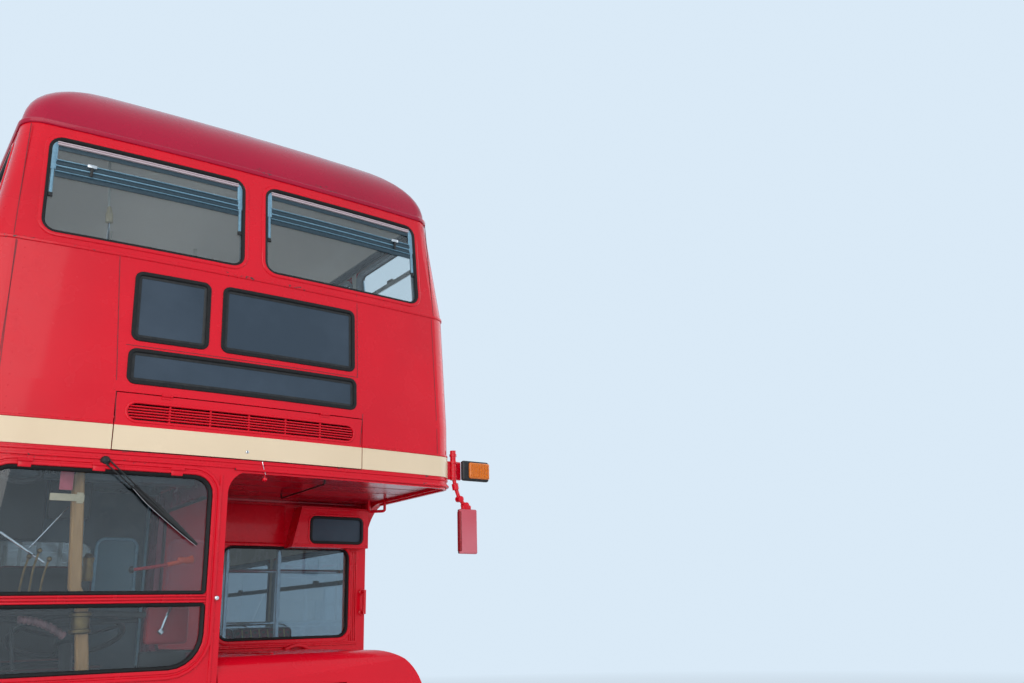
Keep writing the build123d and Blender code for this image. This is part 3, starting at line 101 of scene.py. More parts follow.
# Side, extents and whether the open cab door passes the window
WINDOWS = [("front", x, UPPER_Z, False) for x in FRONT_WINDOWS]
for side in SIDES:
    WINDOWS += [(side, y, UPPER_Z, False) for y in UPPER_BAYS]
    WINDOWS += [(side, y, LOWER_Z, side == "off" and y[0] < DOOR_PATH_END) for y in BAYS]
WINDOWS.append(("rear", *REAR_WINDOW, False))
FORWARD, UP = Vector((0, -1, 0)), Vector((0, 0, 1))


def section_at(z):
    """Half width, front set-back and rear set-back of the body at a height."""
    z = min(max(z, SECTIONS[0][0]), SECTIONS[-1][0])
    for low, high in zip(SECTIONS, SECTIONS[1:]):
        if z <= high[0]:
            share = (z - low[0]) / (high[0] - low[0])
            return [a + (b - a) * share for a, b in zip(low[1:], high[1:])]


def face_y(x, z, end):
    """Place of the front (end -1) or rear (end 1) face."""
    front, rear = section_at(z)[1:]
    bow = FACE_BOW * (x / HALF_WIDTH) ** 2
    return FRONT_Y + front + bow if end < 0 else REAR_Y - rear - bow


FLAT = {
    "bulk": (Vector((0, BULKHEAD_Y, 0)), FORWARD, Vector((1, 0, 0))),
    "box": (Vector((0, BULKHEAD_Y - 0.120, 0)), FORWARD, Vector((1, 0, 0))),
    "cowl": (Vector((0, FRONT_Y - 0.040, 0)), FORWARD, Vector((1, 0, 0))),
    "door": (Vector((DOOR_X, 0, 0)), Vector((-1, 0, 0)), Vector((0, 1, 0))),
    "inner": (Vector((CAB_INNER_X, 0, 0)), Vector((1, 0, 0)), Vector((0, 1, 0))),
    "soffit": (Vector((0, 0, 2.310)), -UP, Vector((1, 0, 0))),
}
FLIPPED = ("off", "rear", "door")


def spot(side, u, z, out=0.0):
    """Point on a face of the body: u runs along x on the ends and along y on the sides."""
    if side in FLAT:
        origin, normal, along = FLAT[side]
        up = Vector((0, 1, 0)) if side == "soffit" else UP
        return origin + normal * out + along * u + up * z
    if side == "front":
        return Vector((u, face_y(u, z, -1) - out, z))
    if side == "rear":
        return Vector((u, face_y(u, z, 1) + out, z))
    sign = 1 if side == "near" else -1
    return Vector((sign * (section_at(z)[0] + out), u, z))


def facing(side, u, z):
    """Outward normal there."""
    if side in FLAT:
        return FLAT[side][1].copy()
    step = 0.004
    a = spot(side, u + step, z) - spot(side, u - step, z)
    b = spot(side, u, z + step) - spot(side, u, z - step)
    normal = a.cross(b).normalized()
    outward = {"front": FORWARD, "rear": (0, 1, 0), "near": (1, 0, 0), "off": (-1, 0, 0)}[side]
    return normal if normal.dot(Vector(outward)) > 0 else -normal


def quarter(half, corner, arc_steps=6, corner_steps=8):
    """Plan of a quarter of the body from the middle of an end to the side: x, depth and normal."""
    bow = FACE_BOW * (half / HALF_WIDTH) ** 2
    big = (half * half + bow * bow) / (2 * bow)
    edge = asin((half - corner) / (big - corner))
    depth = big - sqrt((big - corner) ** 2 - (half - corner) ** 2)
    rows = []
    for n in range(arc_steps + 1):
        a = edge * n / arc_steps
        rows.append((big * sin(a), big - big * cos(a), sin(a), cos(a)))
    for n in range(1, corner_steps + 1):
        a = edge + (pi / 2 - edge) * n / corner_steps
        rows.append((half - corner + corner * sin(a), depth - corner * cos(a), sin(a), cos(a)))
    return rows


def plan_loop(z, half, front, rear, corner):
    """Points and outward normals once round a plan outline."""
    rows = quarter(half, corner)
    points, normals = [], []
    for side, end, order in ((1, -1, 1), (1, 1, -1), (-1, 1, 1), (-1, -1, -1)):
        face = front if end < 0 else rear
        for x, depth, nx, ny in rows[::order]:
            if side < 0 and x < 1e-6:
                continue
            points.append(Vector((side * x, face - end * depth, z)))
            normals.append(Vector((side * nx, end * ny, 0)))
    return points, normals


def body_loop(z, out=0.0):
    """Once round the body at a height."""
    half, front, rear = section_at(z)
    return plan_loop(z, half + out, FRONT_Y + front - out, REAR_Y - rear + out, CORNER_R + out)


def divided(a, b, step):
    """Points from a up to, not including, b, no further apart than a step."""
    count = max(1, ceil(dist(a, b) / step))
    return [(a[0] + (b[0] - a[0]) * k / count, a[1] + (b[1] - a[1]) * k / count) for k in range(count)]


def rounded(u, z, top, low=None):
    """Points round a rounded rectangle, clockwise from outside."""
    low = top if low is None else low
    corners = [
        (u[1] - top, z[1] - top, top, 90),
        (u[1] - low, z[0] + low, low, 0),
        (u[0] + low, z[0] + low, low, -90),
        (u[0] + top, z[1] - top, top, 180),
    ]
    points = []
    for cu, cz, r, start in corners:
        for n in range(7):
            a = radians(start - 15 * n)
            points.append((cu + r * cos(a), cz + r * sin(a)))
    return [point for a, b in zip(points, points[1:] + points[:1]) for point in divided(a, b, STEP)]


def bead(w, h, base=-0.002, middle=0.0):
    """Profile of a rounded moulding: across and out."""
    shape = [(-w, base), (-w, 0.45 * h), (-0.7 * w, 0.9 * h), (-0.2 * w, h), (0.2 * w, h)]
    shape += [(0.7 * w, 0.9 * h), (w, 0.45 * h), (w, base)]
    return [(a + middle, b) for a, b in shape]


def double_bead(inner, outer, h, base=-0.002):
    """Profile of a moulding with two ribs and a groove between them."""
    w = outer - inner
    shape = [(0, base), (0, 0.7 * h), (0.08, h), (0.34, h), (0.42, 0.45 * h), (0.58, 0.45 * h)]
    shape += [(0.66, h), (0.92, h), (1, 0.7 * h), (1, base)]
    return [(inner + w * a, b) for a, b in shape]


def around(count, start=0.0):
    """Even angles once round."""
    return [2 * pi * (n + start) / count for n in range(count)]


def strip(u0, u1, low, high):
    """Profile of a square moulding."""
    return [(u0, low), (u0, high), (u1, high), (u1, low)]


def circle(radius, count=10):
    """Round profile."""
    return [(radius * cos(a), radius * sin(a)) for a in around(count)]


def sunk(profile, depth):
    """Profile set back into the wall."""
    return [(a, b - depth) for a, b in profile]


def mirrored(sign, low, high):
    """Corners of a box on one side of the bus: x is given for the nearside."""
    x0, x1 = sorted((sign * low[0], sign * high[0]))
    return (x0, *low[1:]), (x1, *high[1:])


def around_axle(x, axle, radius, angle):
    """Point at a radius and angle round an axle."""
    return Vector((x, axle + radius * cos(angle), AXLE_Z + radius * sin(angle)))


def placed(name, data):
    """New object in the scene's collection."""
    obj = bpy.data.objects.new(name, data)
    bpy.context.scene.collection.objects.link(obj)
    return obj


class Piece:
    """Closed forms gathered into one mesh, in the shared frame."""

    def __init__(self, material):
        self.bm = bmesh.new()
        self.materials = [material]
        self.index = 0

    def use(self, material):
        if material not in self.materials:
            self.materials.append(material)
        self.index = self.materials.index(material)

    def face(self, verts):
        if len(set(verts)) < 3:
            return
        made = self.bm.faces.new(verts)
        made.material_index = self.index
        made.smooth = True

    def loft(self, rings, closed=False, caps=True):
        verts = [[self.bm.verts.new(point) for point in ring] for ring in rings]
        pairs = list(zip(verts, verts[1:]))
        if closed:
            pairs.append((verts[-1], verts[0]))
        for low, high in pairs:
            for n in range(len(low)):
                self.face((low[n - 1], low[n], high[n], high[n - 1]))
        if caps and not closed:
            self.face(verts[0][::-1])
            self.face(verts[-1])
        return verts

    def sweep(self, path, outs, profile, closed=False):
        rings, count = [], len(path)
        for n, point in enumerate(path):
            before = path[n - 1] if closed or n else path[0]
            after = path[(n + 1) % count] if closed or n < count - 1 else path[-1]
            tangent = (after - before).normalized()
            out = outs[n] if isinstance(outs, list) else outs
            out = (out - tangent * out.dot(tangent)).normalized()
            across = out.cross(tangent)
            rings.append([point + across * u + out * v for u, v in profile])
        self.loft(rings, closed)

    def run(self, side, points, profile, closed=False):
        """Sweep along points on a face of the body."""
        ends = points[1:] + points[:1] if closed else points[1:]
        step = STEP if side in ("front", "rear") else inf  # the other faces are straight along their lines
        full = [point for a, b in zip(points, ends) for point in divided(a, b, step)]
        if not closed:
            full.append(points[-1])
        if side in FLIPPED:
            full = full[::-1]
        path = [spot(side, u, z) for u, z in full]
        self.sweep(path, [facing(side, u, z) for u, z in full], profile, closed)

    def line(self, side, u, z, profile):
        """Straight moulding along u or z, the one given as a pair."""
        (u0, u1), (z0, z1) = [v if isinstance(v, tuple) else (v, v) for v in (u, z)]
        self.run(side, [(u0, z0), (u1, z1)], profile)

    def ring(self, side, u, z, top, profile, low=None):
        self.run(side, rounded(u, z, top, low), profile, True)

    def tube(self, points, radius, count=10, closed=False):
        points = [Vector(p) for p in points]
        direction = points[1] - points[0]
        out = UP if abs(direction.normalized().z) < 0.9 else Vector((0, 1, 0))
        self.sweep(points, out, circle(radius, count), closed)

    def bent(self, points, radius, bend=0.03, count=10):
        """Tube whose corners are rounded."""
        points = [Vector(p) for p in points]
        path = [points[0]]
        for a, b, c in zip(points, points[1:], points[2:]):
            reach = min(bend, (b - a).length / 2.2, (c - b).length / 2.2)
            start, end = b + (a - b).normalized() * reach, b + (c - b).normalized() * reach
            path += [start.lerp(b, k / 5).lerp(b.lerp(end, k / 5), k / 5) for k in range(6)]
        self.tube(path + [points[-1]], radius, count)

    def block(self, low, high, bevel=0.004, segments=2, turn=None):
        low, high = Vector(low), Vector(high)
        size = high - low
        matrix = Matrix.Translation((low + high) / 2)
        if turn:
            matrix = matrix @ turn
        made = bmesh.ops.create_cube(self.bm, size=1.0, matrix=matrix @ Matrix.Diagonal((*size, 1)))
        faces = {f for v in made["verts"] for f in v.link_faces}
        for f in faces:
            f.material_index = self.index
            f.smooth = True
        edges = list({e for v in made["verts"] for e in v.link_edges})
        limit = min(abs(s) for s in size) * 0.45
        settings = {"segments": segments, "affect": "EDGES", "profile": 0.5, "material": -1}
        bmesh.ops.bevel(self.bm, geom=edges, offset=min(bevel, limit), **settings)

    def turned(self, rows, centre, axis, count=24, loop=False):
        """Rows of (radius, height) turned about an axis; a row of radius 0 is the pole."""
        centre, axis = Vector(centre), Vector(axis).normalized()
        side = axis.orthogonal().normalized()
        other = axis.cross(side)
        rings = []
        for radius, height in rows:
            radius = max(radius, 1e-5)
            middle = centre + axis * height
            rings.append([middle + (side * cos(a) + other * sin(a)) * radius for a in around(count)])
        self.loft(rings, loop)

    def pane(self, side, u, z, corner, thick):
        """Flat closed sheet on a face of the body."""
        outline = rounded(u, z, corner)
        self.loft([[spot(side, a, b, out) for a, b in outline] for out in (0.0, thick)])

    def stud(self, side, u, z, radius, height):
        self.turned(
            [(radius, -0.001), (radius, 0.4 * height), (0.7 * radius, 0.85 * height), (0.3 * radius, height)],
            spot(side, u, z), facing(side, u, z), 10,
        )

    def make(self, name, slot, body="root", hides=(), angle=35):
        bmesh.ops.recalc_face_normals(self.bm, faces=self.bm.faces)
        mesh = bpy.data.meshes.new(name)
        self.bm.to_mesh(mesh)
        self.bm.free()
        for material in self.materials:
            mesh.materials.append(MATS[material])
        mesh.set_sharp_from_angle(angle=radians(angle))
        obj = placed(name, mesh)
        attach(obj, body)
        if hides:
            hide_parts(*hides)
        return obj


class Shade:
    """Builds one procedural material."""

    def __init__(self, name):
        self.mat = bpy.data.materials.new(name)
        self.mat.use_nodes = True
        self.tree = self.mat.node_tree
        self.bsdf = self.tree.nodes["Principled BSDF"]
        self.place = self.tree.nodes.new("ShaderNodeTexCoord").outputs["Object"]

    def feed(self, socket, value):
        if isinstance(value, bpy.types.NodeSocket):
            self.tree.links.new(value, socket)
        else:
            socket.default_value = value

    def node(self, kind, inputs, **settings):
        made = self.tree.nodes.new("ShaderNode" + kind)
        for key, value in settings.items():
            setattr(made, key, value)
        for key, value in inputs.items():
            self.feed(made.inputs[key], value)
        return made

    def noise(self, scale, detail=4.0, rough=0.55, stretch=None):
        where = self.place
        if stretch:
            where = self.node("Mapping", {"Vector": where, "Scale": stretch}).outputs[0]
        made = self.node("TexNoise", {"Vector": where, "Scale": scale, "Detail": detail, "Roughness": rough})
        return made.outputs[0]

    def level(self, value, low, high, to=(0.0, 1.0)):
        rows = {"Value": value, "From Min": low, "From Max": high, "To Min": to[0], "To Max": to[1]}
        return self.node("MapRange", rows).outputs[0]

    def math(self, what, a, b=0.0):
        return self.node("Math", {0: a, 1: b}, operation=what).outputs[0]

    def times(self, a, b):
        return self.math("MULTIPLY", a, b)

    def minus(self, a, b):
        return self.math("SUBTRACT", a, b)

    def mix(self, share, a, b):
        values = [(*v, 1) if isinstance(v, tuple) and len(v) == 3 else v for v in (a, b)]
        return self.node("Mix", {0: share, 6: values[0], 7: values[1]}, data_type="RGBA").outputs[2]

    def axes(self):
        return self.node("SeparateXYZ", {"Vector": self.place}).outputs

    def blend(self, share, shader):
        """Another shader takes over from the surface by a share."""
        both = self.node("MixShader", {0: share, 1: self.bsdf.outputs[0], 2: shader.outputs[0]})
        self.tree.links.new(both.outputs[0], self.tree.nodes["Material Output"].inputs[0])

    def bump(self, height, strength, distance):
        made = self.node("Bump", {"Height": height, "Strength": strength, "Distance": distance})
        self.tree.links.new(made.outputs[0], self.bsdf.inputs["Normal"])

    def set(self, **values):
        for key, value in values.items():
            if isinstance(value, tuple) and len(value) == 3:
                value = (*value, 1)
            self.feed(self.bsdf.inputs[key.replace("_", " ")], value)


def depth_inside(s):
    """How far a point lies inside the body's outer surface."""
    x, y, z = s.axes()
    wide = s.math("ABSOLUTE", x)
    steps = list(zip(SECTIONS[1:], SECTIONS[2:]))

    def change(index, sign):
        total = SECTIONS[0][index]
        for low, high in steps:
            part = s.level(z, low[0], high[0], (0.0, sign * (high[index] - low[index])))
            total = s.math("ADD", part, total)
        return total

    bow = s.times(s.times(x, x), FACE_BOW / HALF_WIDTH ** 2)
    at_side = s.minus(change(1, 1), wide)
    at_front = s.minus(s.minus(y, FRONT_Y), s.math("ADD", change(2, 1), bow))
    at_rear = s.minus(s.minus(REAR_Y, y), s.math("ADD", change(3, 1), bow))
    return s.math("MINIMUM", at_side, s.math("MINIMUM", at_front, at_rear)), x, y, z


def gloss(s, base, rough):
    """Coach varnish over a base colour."""
    s.set(Base_Color=base, Specular_IOR_Level=0.22, Coat_Weight=0.22, Coat_Roughness=0.05)
    s.set(Roughness=s.level(s.noise(7.0, 3), 0.3, 0.8, (rough, rough + 0.14)))
    s.bump(s.noise(160.0, 2), 0.04, 0.001)
    return s.mat


LINING_DEPTH = (0.0365, 0.0375)  # the inner lining starts this deep in the walls
Lining = namedtuple("Lining", "below above axis split from_y from_z to_x")


def paint(name, colour, worn, rough=0.2, chip_z=(), chips=0.0, lining=None):
    """Glossy coach paint: slow shade changes, orange peel and chips along some heights."""
    s = Shade(name)
    base = s.mix(s.level(s.noise(1.1, 3), 0.35, 0.7), colour, worn)
    if chips:
        height = s.axes()[2]
        near = 0.0
        for z in chip_z:
            gap = s.math("ABSOLUTE", s.minus(height, z))
            near = s.math("MAXIMUM", s.level(gap, 0.03, 0.004), near)
        patch = s.level(s.noise(4.0, 2), 0.47, 0.62)
        amount = s.times(s.times(near, patch), chips)
        hit = s.level(s.math("ADD", s.noise(38, 6, 0.7, (1, 1, 1.6)), amount), 0.76, 0.79)
        base = s.mix(hit, base, (0.05, 0.03, 0.03))
    if lining:
        depth, x, y, z = depth_inside(s)
        share = s.level((x, y, z)[lining.axis], lining.split - 0.002, lining.split)
        inside = s.mix(share, lining.below, lining.above)
        here = s.level(x, lining.to_x + 0.002, lining.to_x)
        for value, start in ((y, lining.from_y), (z, lining.from_z)):
            here = s.times(here, s.level(value, start, start + 0.002))
        base = s.mix(s.times(s.level(depth, *LINING_DEPTH), here), base, inside)
    return gloss(s, base, rough)


def soffit(name):
    """Underside of the upper floor: glossy dark red boards under the canopy, near black over the cab as
    painted shade, pale behind the bulkhead.
    """
    s = Shade(name)
    ahead = s.level(s.axes()[1], BULKHEAD_Y + 0.001, BULKHEAD_Y)
    boards = s.level(s.noise(3.0, 4, 0.6, (1, 6, 1)), 0.3, 0.7)
    red = s.mix(boards, (0.42, 0.003, 0.017), (0.30, 0.002, 0.013))
    # Near black over the cab: painted shade in the cab's roof
    red = s.mix(s.level(s.axes()[0], CAB_INNER_X - 0.002, CAB_INNER_X), (0.03, 0.034, 0.038), red)
    pale = s.mix(s.level(s.noise(2.0, 4), 0.35, 0.7), (0.62, 0.60, 0.54), (0.55, 0.53, 0.47))
    s.set(Base_Color=s.mix(ahead, pale, red), Roughness=s.level(s.noise(5.0, 3), 0.3, 0.7, (0.14, 0.3)))
    s.bump(s.noise(30.0, 3, 0.5, (1, 4, 1)), 0.06, 0.002)
    return s.mat


def bulkhead(name):
    """Front bulkhead: red over the bonnet, dark in the cab, maroon and cream in the saloon."""
    s = Shade(name)
    x, y, z = s.axes()
    shade = s.level(s.noise(1.1, 3), 0.35, 0.7)
    red = s.mix(shade, RED, RED_WORN)
    dark = s.mix(shade, (0.050, 0.072, 0.088), (0.035, 0.052, 0.064))
    front = s.mix(s.level(x, CAB_INNER_X - 0.002, CAB_INNER_X), dark, red)
    saloon = s.mix(s.level(z, 1.358, 1.360), MAROON, CREAM_IN)
    return gloss(s, s.mix(s.level(y, BULKHEAD_Y + 0.018, BULKHEAD_Y + 0.020), front, saloon), 0.2)


def plain(name, colour, other, rough=0.5, metal=0.0, scale=60.0, bump=0.15, distance=0.001, stretch=None):
    """Two shades mixed by a grain, with a bump of the same grain."""
    s = Shade(name)
    grain = s.noise(scale, 5, 0.6, stretch)
    s.set(Base_Color=s.mix(s.level(grain, 0.35, 0.65), colour, other), Metallic=metal)
    s.set(Roughness=s.level(grain, 0.3, 0.7, (max(rough - 0.08, 0.03), rough + 0.08)))
    s.bump(grain, bump, distance)
    return s.mat


def glass(name, tint):
    """Window glass that lets lamps through, with a little dust."""
    s = Shade(name)
    dust = s.level(s.noise(2.2, 5, 0.7), 0.5, 0.85)
    s.set(Base_Color=tint, Transmission_Weight=1.0, IOR=1.5)
    s.set(Roughness=s.level(dust, 0.0, 1.0, (0.0, 0.05)))
    clear = s.node("BsdfTransparent", {"Color": (0.95, 0.97, 0.98, 1)})
    s.blend(s.node("LightPath", {}).outputs["Is Shadow Ray"], clear)
    return s.mat


def slatted(name, colour, other, gap, pitch):
    """Wooden slats along the bus, with dark gaps."""
    s = Shade(name)
    cell = s.math("FRACT", s.math("DIVIDE", s.axes()[0], pitch))
    wood = s.mix(s.level(s.noise(2.0, 6, 0.6, (30, 2, 30)), 0.3, 0.7), colour, other)
    line = s.level(s.math("ABSOLUTE", s.minus(cell, 0.5)), 0.42, 0.45)
    s.set(Base_Color=s.mix(line, wood, gap))
    s.set(Roughness=s.level(s.noise(20.0, 3), 0.3, 0.7, (0.5, 0.75)))
    s.bump(s.minus(1.0, line), 0.5, 0.003)
    return s.mat


def woven(name, first, second, third):
    """Seat moquette: a small woven check with pile."""
    s = Shade(name)
    x, y, z = s.axes()
    along = s.math("SINE", s.times(s.math("ADD", y, z), 105.0))
    across = s.math("SINE", s.times(x, 105.0))
    check = s.level(s.times(along, across), 0.25, 0.4)
    stripe = s.level(across, 0.86, 0.92)
    pile = s.noise(420.0, 3)
    base = s.mix(stripe, s.mix(check, first, second), third)
    base = s.mix(s.level(pile, 0.3, 0.75, (0.0, 0.35)), base, (0.02, 0.015, 0.015))
    s.set(Base_Color=base, Roughness=0.92, Sheen_Weight=0.35, Sheen_Roughness=0.4)
    s.bump(s.math("ADD", pile, s.times(check, 0.4)), 0.5, 0.0015)
    return s.mat


def tread(name):
    """Tyre rubber: dusty sidewall and fine wear."""
    s = Shade(name)
    grain = s.noise(30.0, 5)
    dust = s.level(s.noise(3.0, 4), 0.45, 0.75)
    base = s.mix(s.level(grain, 0.35, 0.65), (0.016, 0.016, 0.017), (0.03, 0.029, 0.028))
    s.set(Base_Color=s.mix(dust, base, (0.07, 0.065, 0.055)))
    s.set(Roughness=s.level(grain, 0.3, 0.7, (0.62, 0.85)))
    s.bump(s.noise(220.0, 3), 0.3, 0.001)
    return s.mat


def cloth_blind(name):
    """Blank destination linen behind glass, in patches of two tones with a darker weave."""
    s = Shade(name)
    weave = s.noise(260.0, 2, 0.5, (1, 1, 4))
    patch = s.level(s.noise(3.0, 4), 0.4, 0.75)
    base = s.mix(patch, (0.022, 0.038, 0.058), (0.036, 0.056, 0.082))
    s.set(Base_Color=s.mix(s.level(weave, 0.3, 0.8, (0.0, 0.3)), base, (0.018, 0.026, 0.038)))
    s.set(Roughness=0.42, Specular_IOR_Level=0.3, Coat_Weight=0.15, Coat_Roughness=0.12)
    s.bump(weave, 0.15, 0.0006)
    return s.mat


RED = (0.62, 0.002, 0.014)
RED_WORN = (0.53, 0.002, 0.013)
CREAM_IN = (0.55, 0.52, 0.44)
BLUE_GREY = (0.16, 0.20, 0.24)
UPPER_LINING = Lining(BLUE_GREY, (0.42, 0.44, 0.43), 2, 3.34, -9.0, 2.398, 9.0)
MAROON = (0.14, 0.015, 0.02)
LOWER_LINING = Lining(MAROON, CREAM_IN, 2, 1.36, BULKHEAD_Y + 0.02, 0.3, 9.0)
CAB_LINING = Lining((0.018, 0.020, 0.023), (0.17, 0.030, 0.050), 0, -0.42, -9.0, 0.3, CAB_INNER_X - 0.012)
MATS = {"soffit_red": soffit("soffit_red"), "bulkhead_paint": bulkhead("bulkhead_paint")}
MATS["glass"] = glass("glass", (0.82, 0.88, 0.90))
# The lower saloon's glass is tinted far darker than the rest: painted shade of the dim saloon behind it
MATS["saloon_glass"] = glass("saloon_glass", (0.42, 0.50, 0.55))
MATS["tyre"] = tread("tyre")
MATS["floor"] = slatted("floor", (0.20, 0.14, 0.09), (0.13, 0.09, 0.06), (0.03, 0.025, 0.02), 0.045)
MATS["moquette"] = woven("moquette", (0.22, 0.02, 0.025), (0.04, 0.06, 0.04), (0.42, 0.28, 0.05))
MATS["blind"] = cloth_blind("blind")
# Colour, worn colour, roughness, heights of the chips and their amount, lining
PAINTS = {
    "body_red": (RED, RED_WORN, 0.2, (3.935, 3.297, 2.3, 2.35), 0.2),
    "upper_paint": (RED, RED_WORN, 0.2, (3.935, 3.297, 2.35), 0.2, UPPER_LINING),
    "lower_paint": (RED, RED_WORN, 0.2, (2.3, 2.35), 0.15, LOWER_LINING),
    "cab_paint": (RED, RED_WORN, 0.2, (2.3, 1.4), 0.2, CAB_LINING),
    # The roof's red is darker and bluer than the body's: painted shade and painted reflection of the sky on
    # the roof
    "roof_red_painted_shade": ((0.37, 0.002, 0.029), (0.31, 0.002, 0.025), 0.2, (3.95, 3.97), 0.22),
    "ceiling": ((0.74, 0.73, 0.69), (0.68, 0.67, 0.63), 0.35),
    "band_cream": ((0.70, 0.56, 0.39), (0.64, 0.50, 0.34), 0.28, (2.355, 2.463), 0.06),
    "wheel_red": ((0.30, 0.012, 0.02), (0.22, 0.01, 0.015), 0.35),
    "mirror_back": ((0.45, 0.03, 0.05), (0.56, 0.16, 0.19), 0.3),
}
# Colour, other colour, roughness, metal, grain's scale, bump's strength and distance, grain's stretch
PLAIN = {
    "aluminium": ((0.62, 0.64, 0.66), (0.5, 0.52, 0.54), 0.3, 1.0, 90.0, 0.05),
    # channel and rail_blue are aluminium coloured blue: painted reflection of the sky, light on the channels
    # and dark on the rails' ribs
    "channel": ((0.18, 0.32, 0.41), (0.13, 0.24, 0.32), 0.35, 0.4, 70.0, 0.05),
    "rail_blue": ((0.024, 0.048, 0.064), (0.015, 0.032, 0.046), 0.4, 0.3, 70.0, 0.05),
    # Top bar: aluminium coloured pinkish, a painted reflection on the bar
    "topbar_painted_reflection": ((0.54, 0.44, 0.46), (0.40, 0.31, 0.34), 0.35, 0.2, 60.0, 0.1, 0.001, (1, 1, 12)),
    "black": ((0.008, 0.008, 0.009), (0.018, 0.018, 0.018), 0.38, 0.0, 40.0),
    "rubber": ((0.006, 0.006, 0.007), (0.014, 0.014, 0.014), 0.6, 0.0, 120.0),
    "engine_paint": ((0.10, 0.12, 0.12), (0.05, 0.05, 0.045), 0.55, 0.3, 18.0, 0.4, 0.004),
    "leather": ((0.09, 0.015, 0.015), (0.06, 0.01, 0.01), 0.42, 0.0, 160.0, 0.3),
    "lamp": ((0.8, 0.82, 0.82), (0.66, 0.68, 0.70), 0.12, 0.5, 30.0, 0.25, 0.001, (14, 1, 1)),
    "chrome": ((0.75, 0.76, 0.78), (0.62, 0.63, 0.66), 0.12, 1.0, 20.0, 0.03),
    "amber": ((0.72, 0.19, 0.01), (0.5, 0.11, 0.008), 0.15, 0.0, 60.0, 0.3, 0.001, (6, 6, 1)),
    "tail_red": ((0.42, 0.01, 0.012), (0.3, 0.008, 0.01), 0.15, 0.0, 90.0, 0.3),
    "handrail": ((0.74, 0.74, 0.70), (0.66, 0.66, 0.62), 0.3, 0.0, 50.0, 0.05),
    "mirror": ((0.85, 0.87, 0.88), (0.8, 0.82, 0.84), 0.08, 1.0, 8.0, 0.01),
    "tan": ((0.42, 0.24, 0.10), (0.30, 0.16, 0.06), 0.5, 0.0, 9.0, 0.2, 0.001, (6, 6, 1)),
    "brass": ((0.24, 0.15, 0.06), (0.15, 0.095, 0.04), 0.35, 1.0, 40.0, 0.1),
    "panel_grey": ((0.19, 0.23, 0.27), (0.13, 0.17, 0.20), 0.45, 0.0, 12.0, 0.1),
    "orange_red": ((0.60, 0.07, 0.02), (0.45, 0.05, 0.02), 0.35, 0.0, 20.0, 0.1),
    "pale_tag": ((0.52, 0.10, 0.14), (0.44, 0.08, 0.11), 0.6, 0.0, 30.0, 0.1),
    "cream_tape": ((0.62, 0.52, 0.36), (0.52, 0.44, 0.30), 0.6, 0.0, 50.0, 0.1),
    "cab_grey": ((0.055, 0.078, 0.095), (0.035, 0.05, 0.062), 0.45, 0.0, 12.0, 0.1),
    "teal_pane": ((0.10, 0.20, 0.26), (0.07, 0.15, 0.20), 0.2, 0.0, 4.0, 0.05),
    "dark_hide": ((0.020, 0.018, 0.018), (0.012, 0.011, 0.011), 0.42, 0.0, 160.0, 0.3),
    "hose": ((0.26, 0.13, 0.14), (0.09, 0.05, 0.055), 0.45, 0.0, 14.0, 0.3, 0.002, (3, 1, 1)),
    "seam": ((0.16, 0.003, 0.008), (0.10, 0.003, 0.006), 0.5, 0.0, 80.0, 0.1),
    "plate": ((0.7, 0.7, 0.66), (0.62, 0.62, 0.58), 0.4, 0.0, 30.0, 0.05),
}
DULLER = {"black": 0.35, "rubber": 0.2}  # specular level, 0.5 elsewhere
for name, row in PAINTS.items():
    MATS[name] = paint(name, *row)
for name, row in PLAIN.items():
    MATS[name] = plain(name, *row)
    if name in DULLER:
        shader = MATS[name].node_tree.nodes["Principled BSDF"]
        shader.inputs["Specular IOR Level"].default_value = DULLER[name]
slots = {row["node"]: row["material_slot"] for row in frame["record"]["subparts"]}
LINED = {
    "upper_front_shell": "upper_paint", "upper_rear_shell": "upper_paint", "emergency_window": "upper_paint",
    "upper_nearside_wall": "upper_paint", "upper_offside_wall": "upper_paint",
    "lower_nearside_wall": "lower_paint", "lower_offside_wall": "lower_paint",
    "lower_rear_shell": "lower_paint", "cab_shell": "cab_paint", "front_bulkhead": "bulkhead_paint",
}
for node, obj in NODES.items():
    obj.data.materials.clear()
    obj.data.materials.append(MATS[LINED.get(node, slots[node])])


def repaint(node, choose):
    """Gives some faces of a CAD node other materials: choose gets a face's centre and normal."""
    mesh = NODES[node].data
    place = NODES[node].matrix_world
    names = [material.name for material in mesh.materials]
    for polygon in mesh.polygons:
        name = choose(place @ polygon.center, place.to_3x3() @ polygon.normal)
        if name:
            if name not in names:
                names.append(name)
                mesh.materials.append(MATS[name])
            polygon.material_index = names.index(name)


def floor_faces(centre, normal):
    if normal.z < -0.7:
        return "soffit_red"
    return "floor" if normal.z > 0.7 else "panel_grey"


repaint("upper_floor", floor_faces)
# The lower glazing takes the darker glass, painted shade of the saloon
repaint("lower_glazing", lambda c, n: "saloon_glass")
repaint("grab_rails", lambda c, n: "body_red" if c.y < 0 else None)
repaint("lower_floor", lambda c, n: None if n.z > 0.7 else "panel_grey")
repaint("staircase", lambda c, n: None if n.z > 0.7 else ("cream_tape" if abs(n.x) < 0.3 else "panel_grey"))
repaint("platform", lambda c, n: None if n.z > 0.7 else "black")

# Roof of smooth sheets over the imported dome, with a pale ceiling and the gutter
HALF, FRONT_BACK, REAR_BACK = SECTIONS[-1][1:]


def dome_ring(offset, angle):
    """Plan outline of the dome, from 0 at the cant rail to 90 degrees at the crown."""
    inset = offset + (ROOF_RUN - offset) * (1 - cos(angle))
    height = CANT_Z + (ROOF_RISE - offset) * sin(angle)
    corner = CORNER_R - offset + 0.3 * inset
    front, rear = FRONT_Y + FRONT_BACK + inset, REAR_Y - REAR_BACK - inset
    return plan_loop(height, HALF - inset, front, rear, corner)[0]


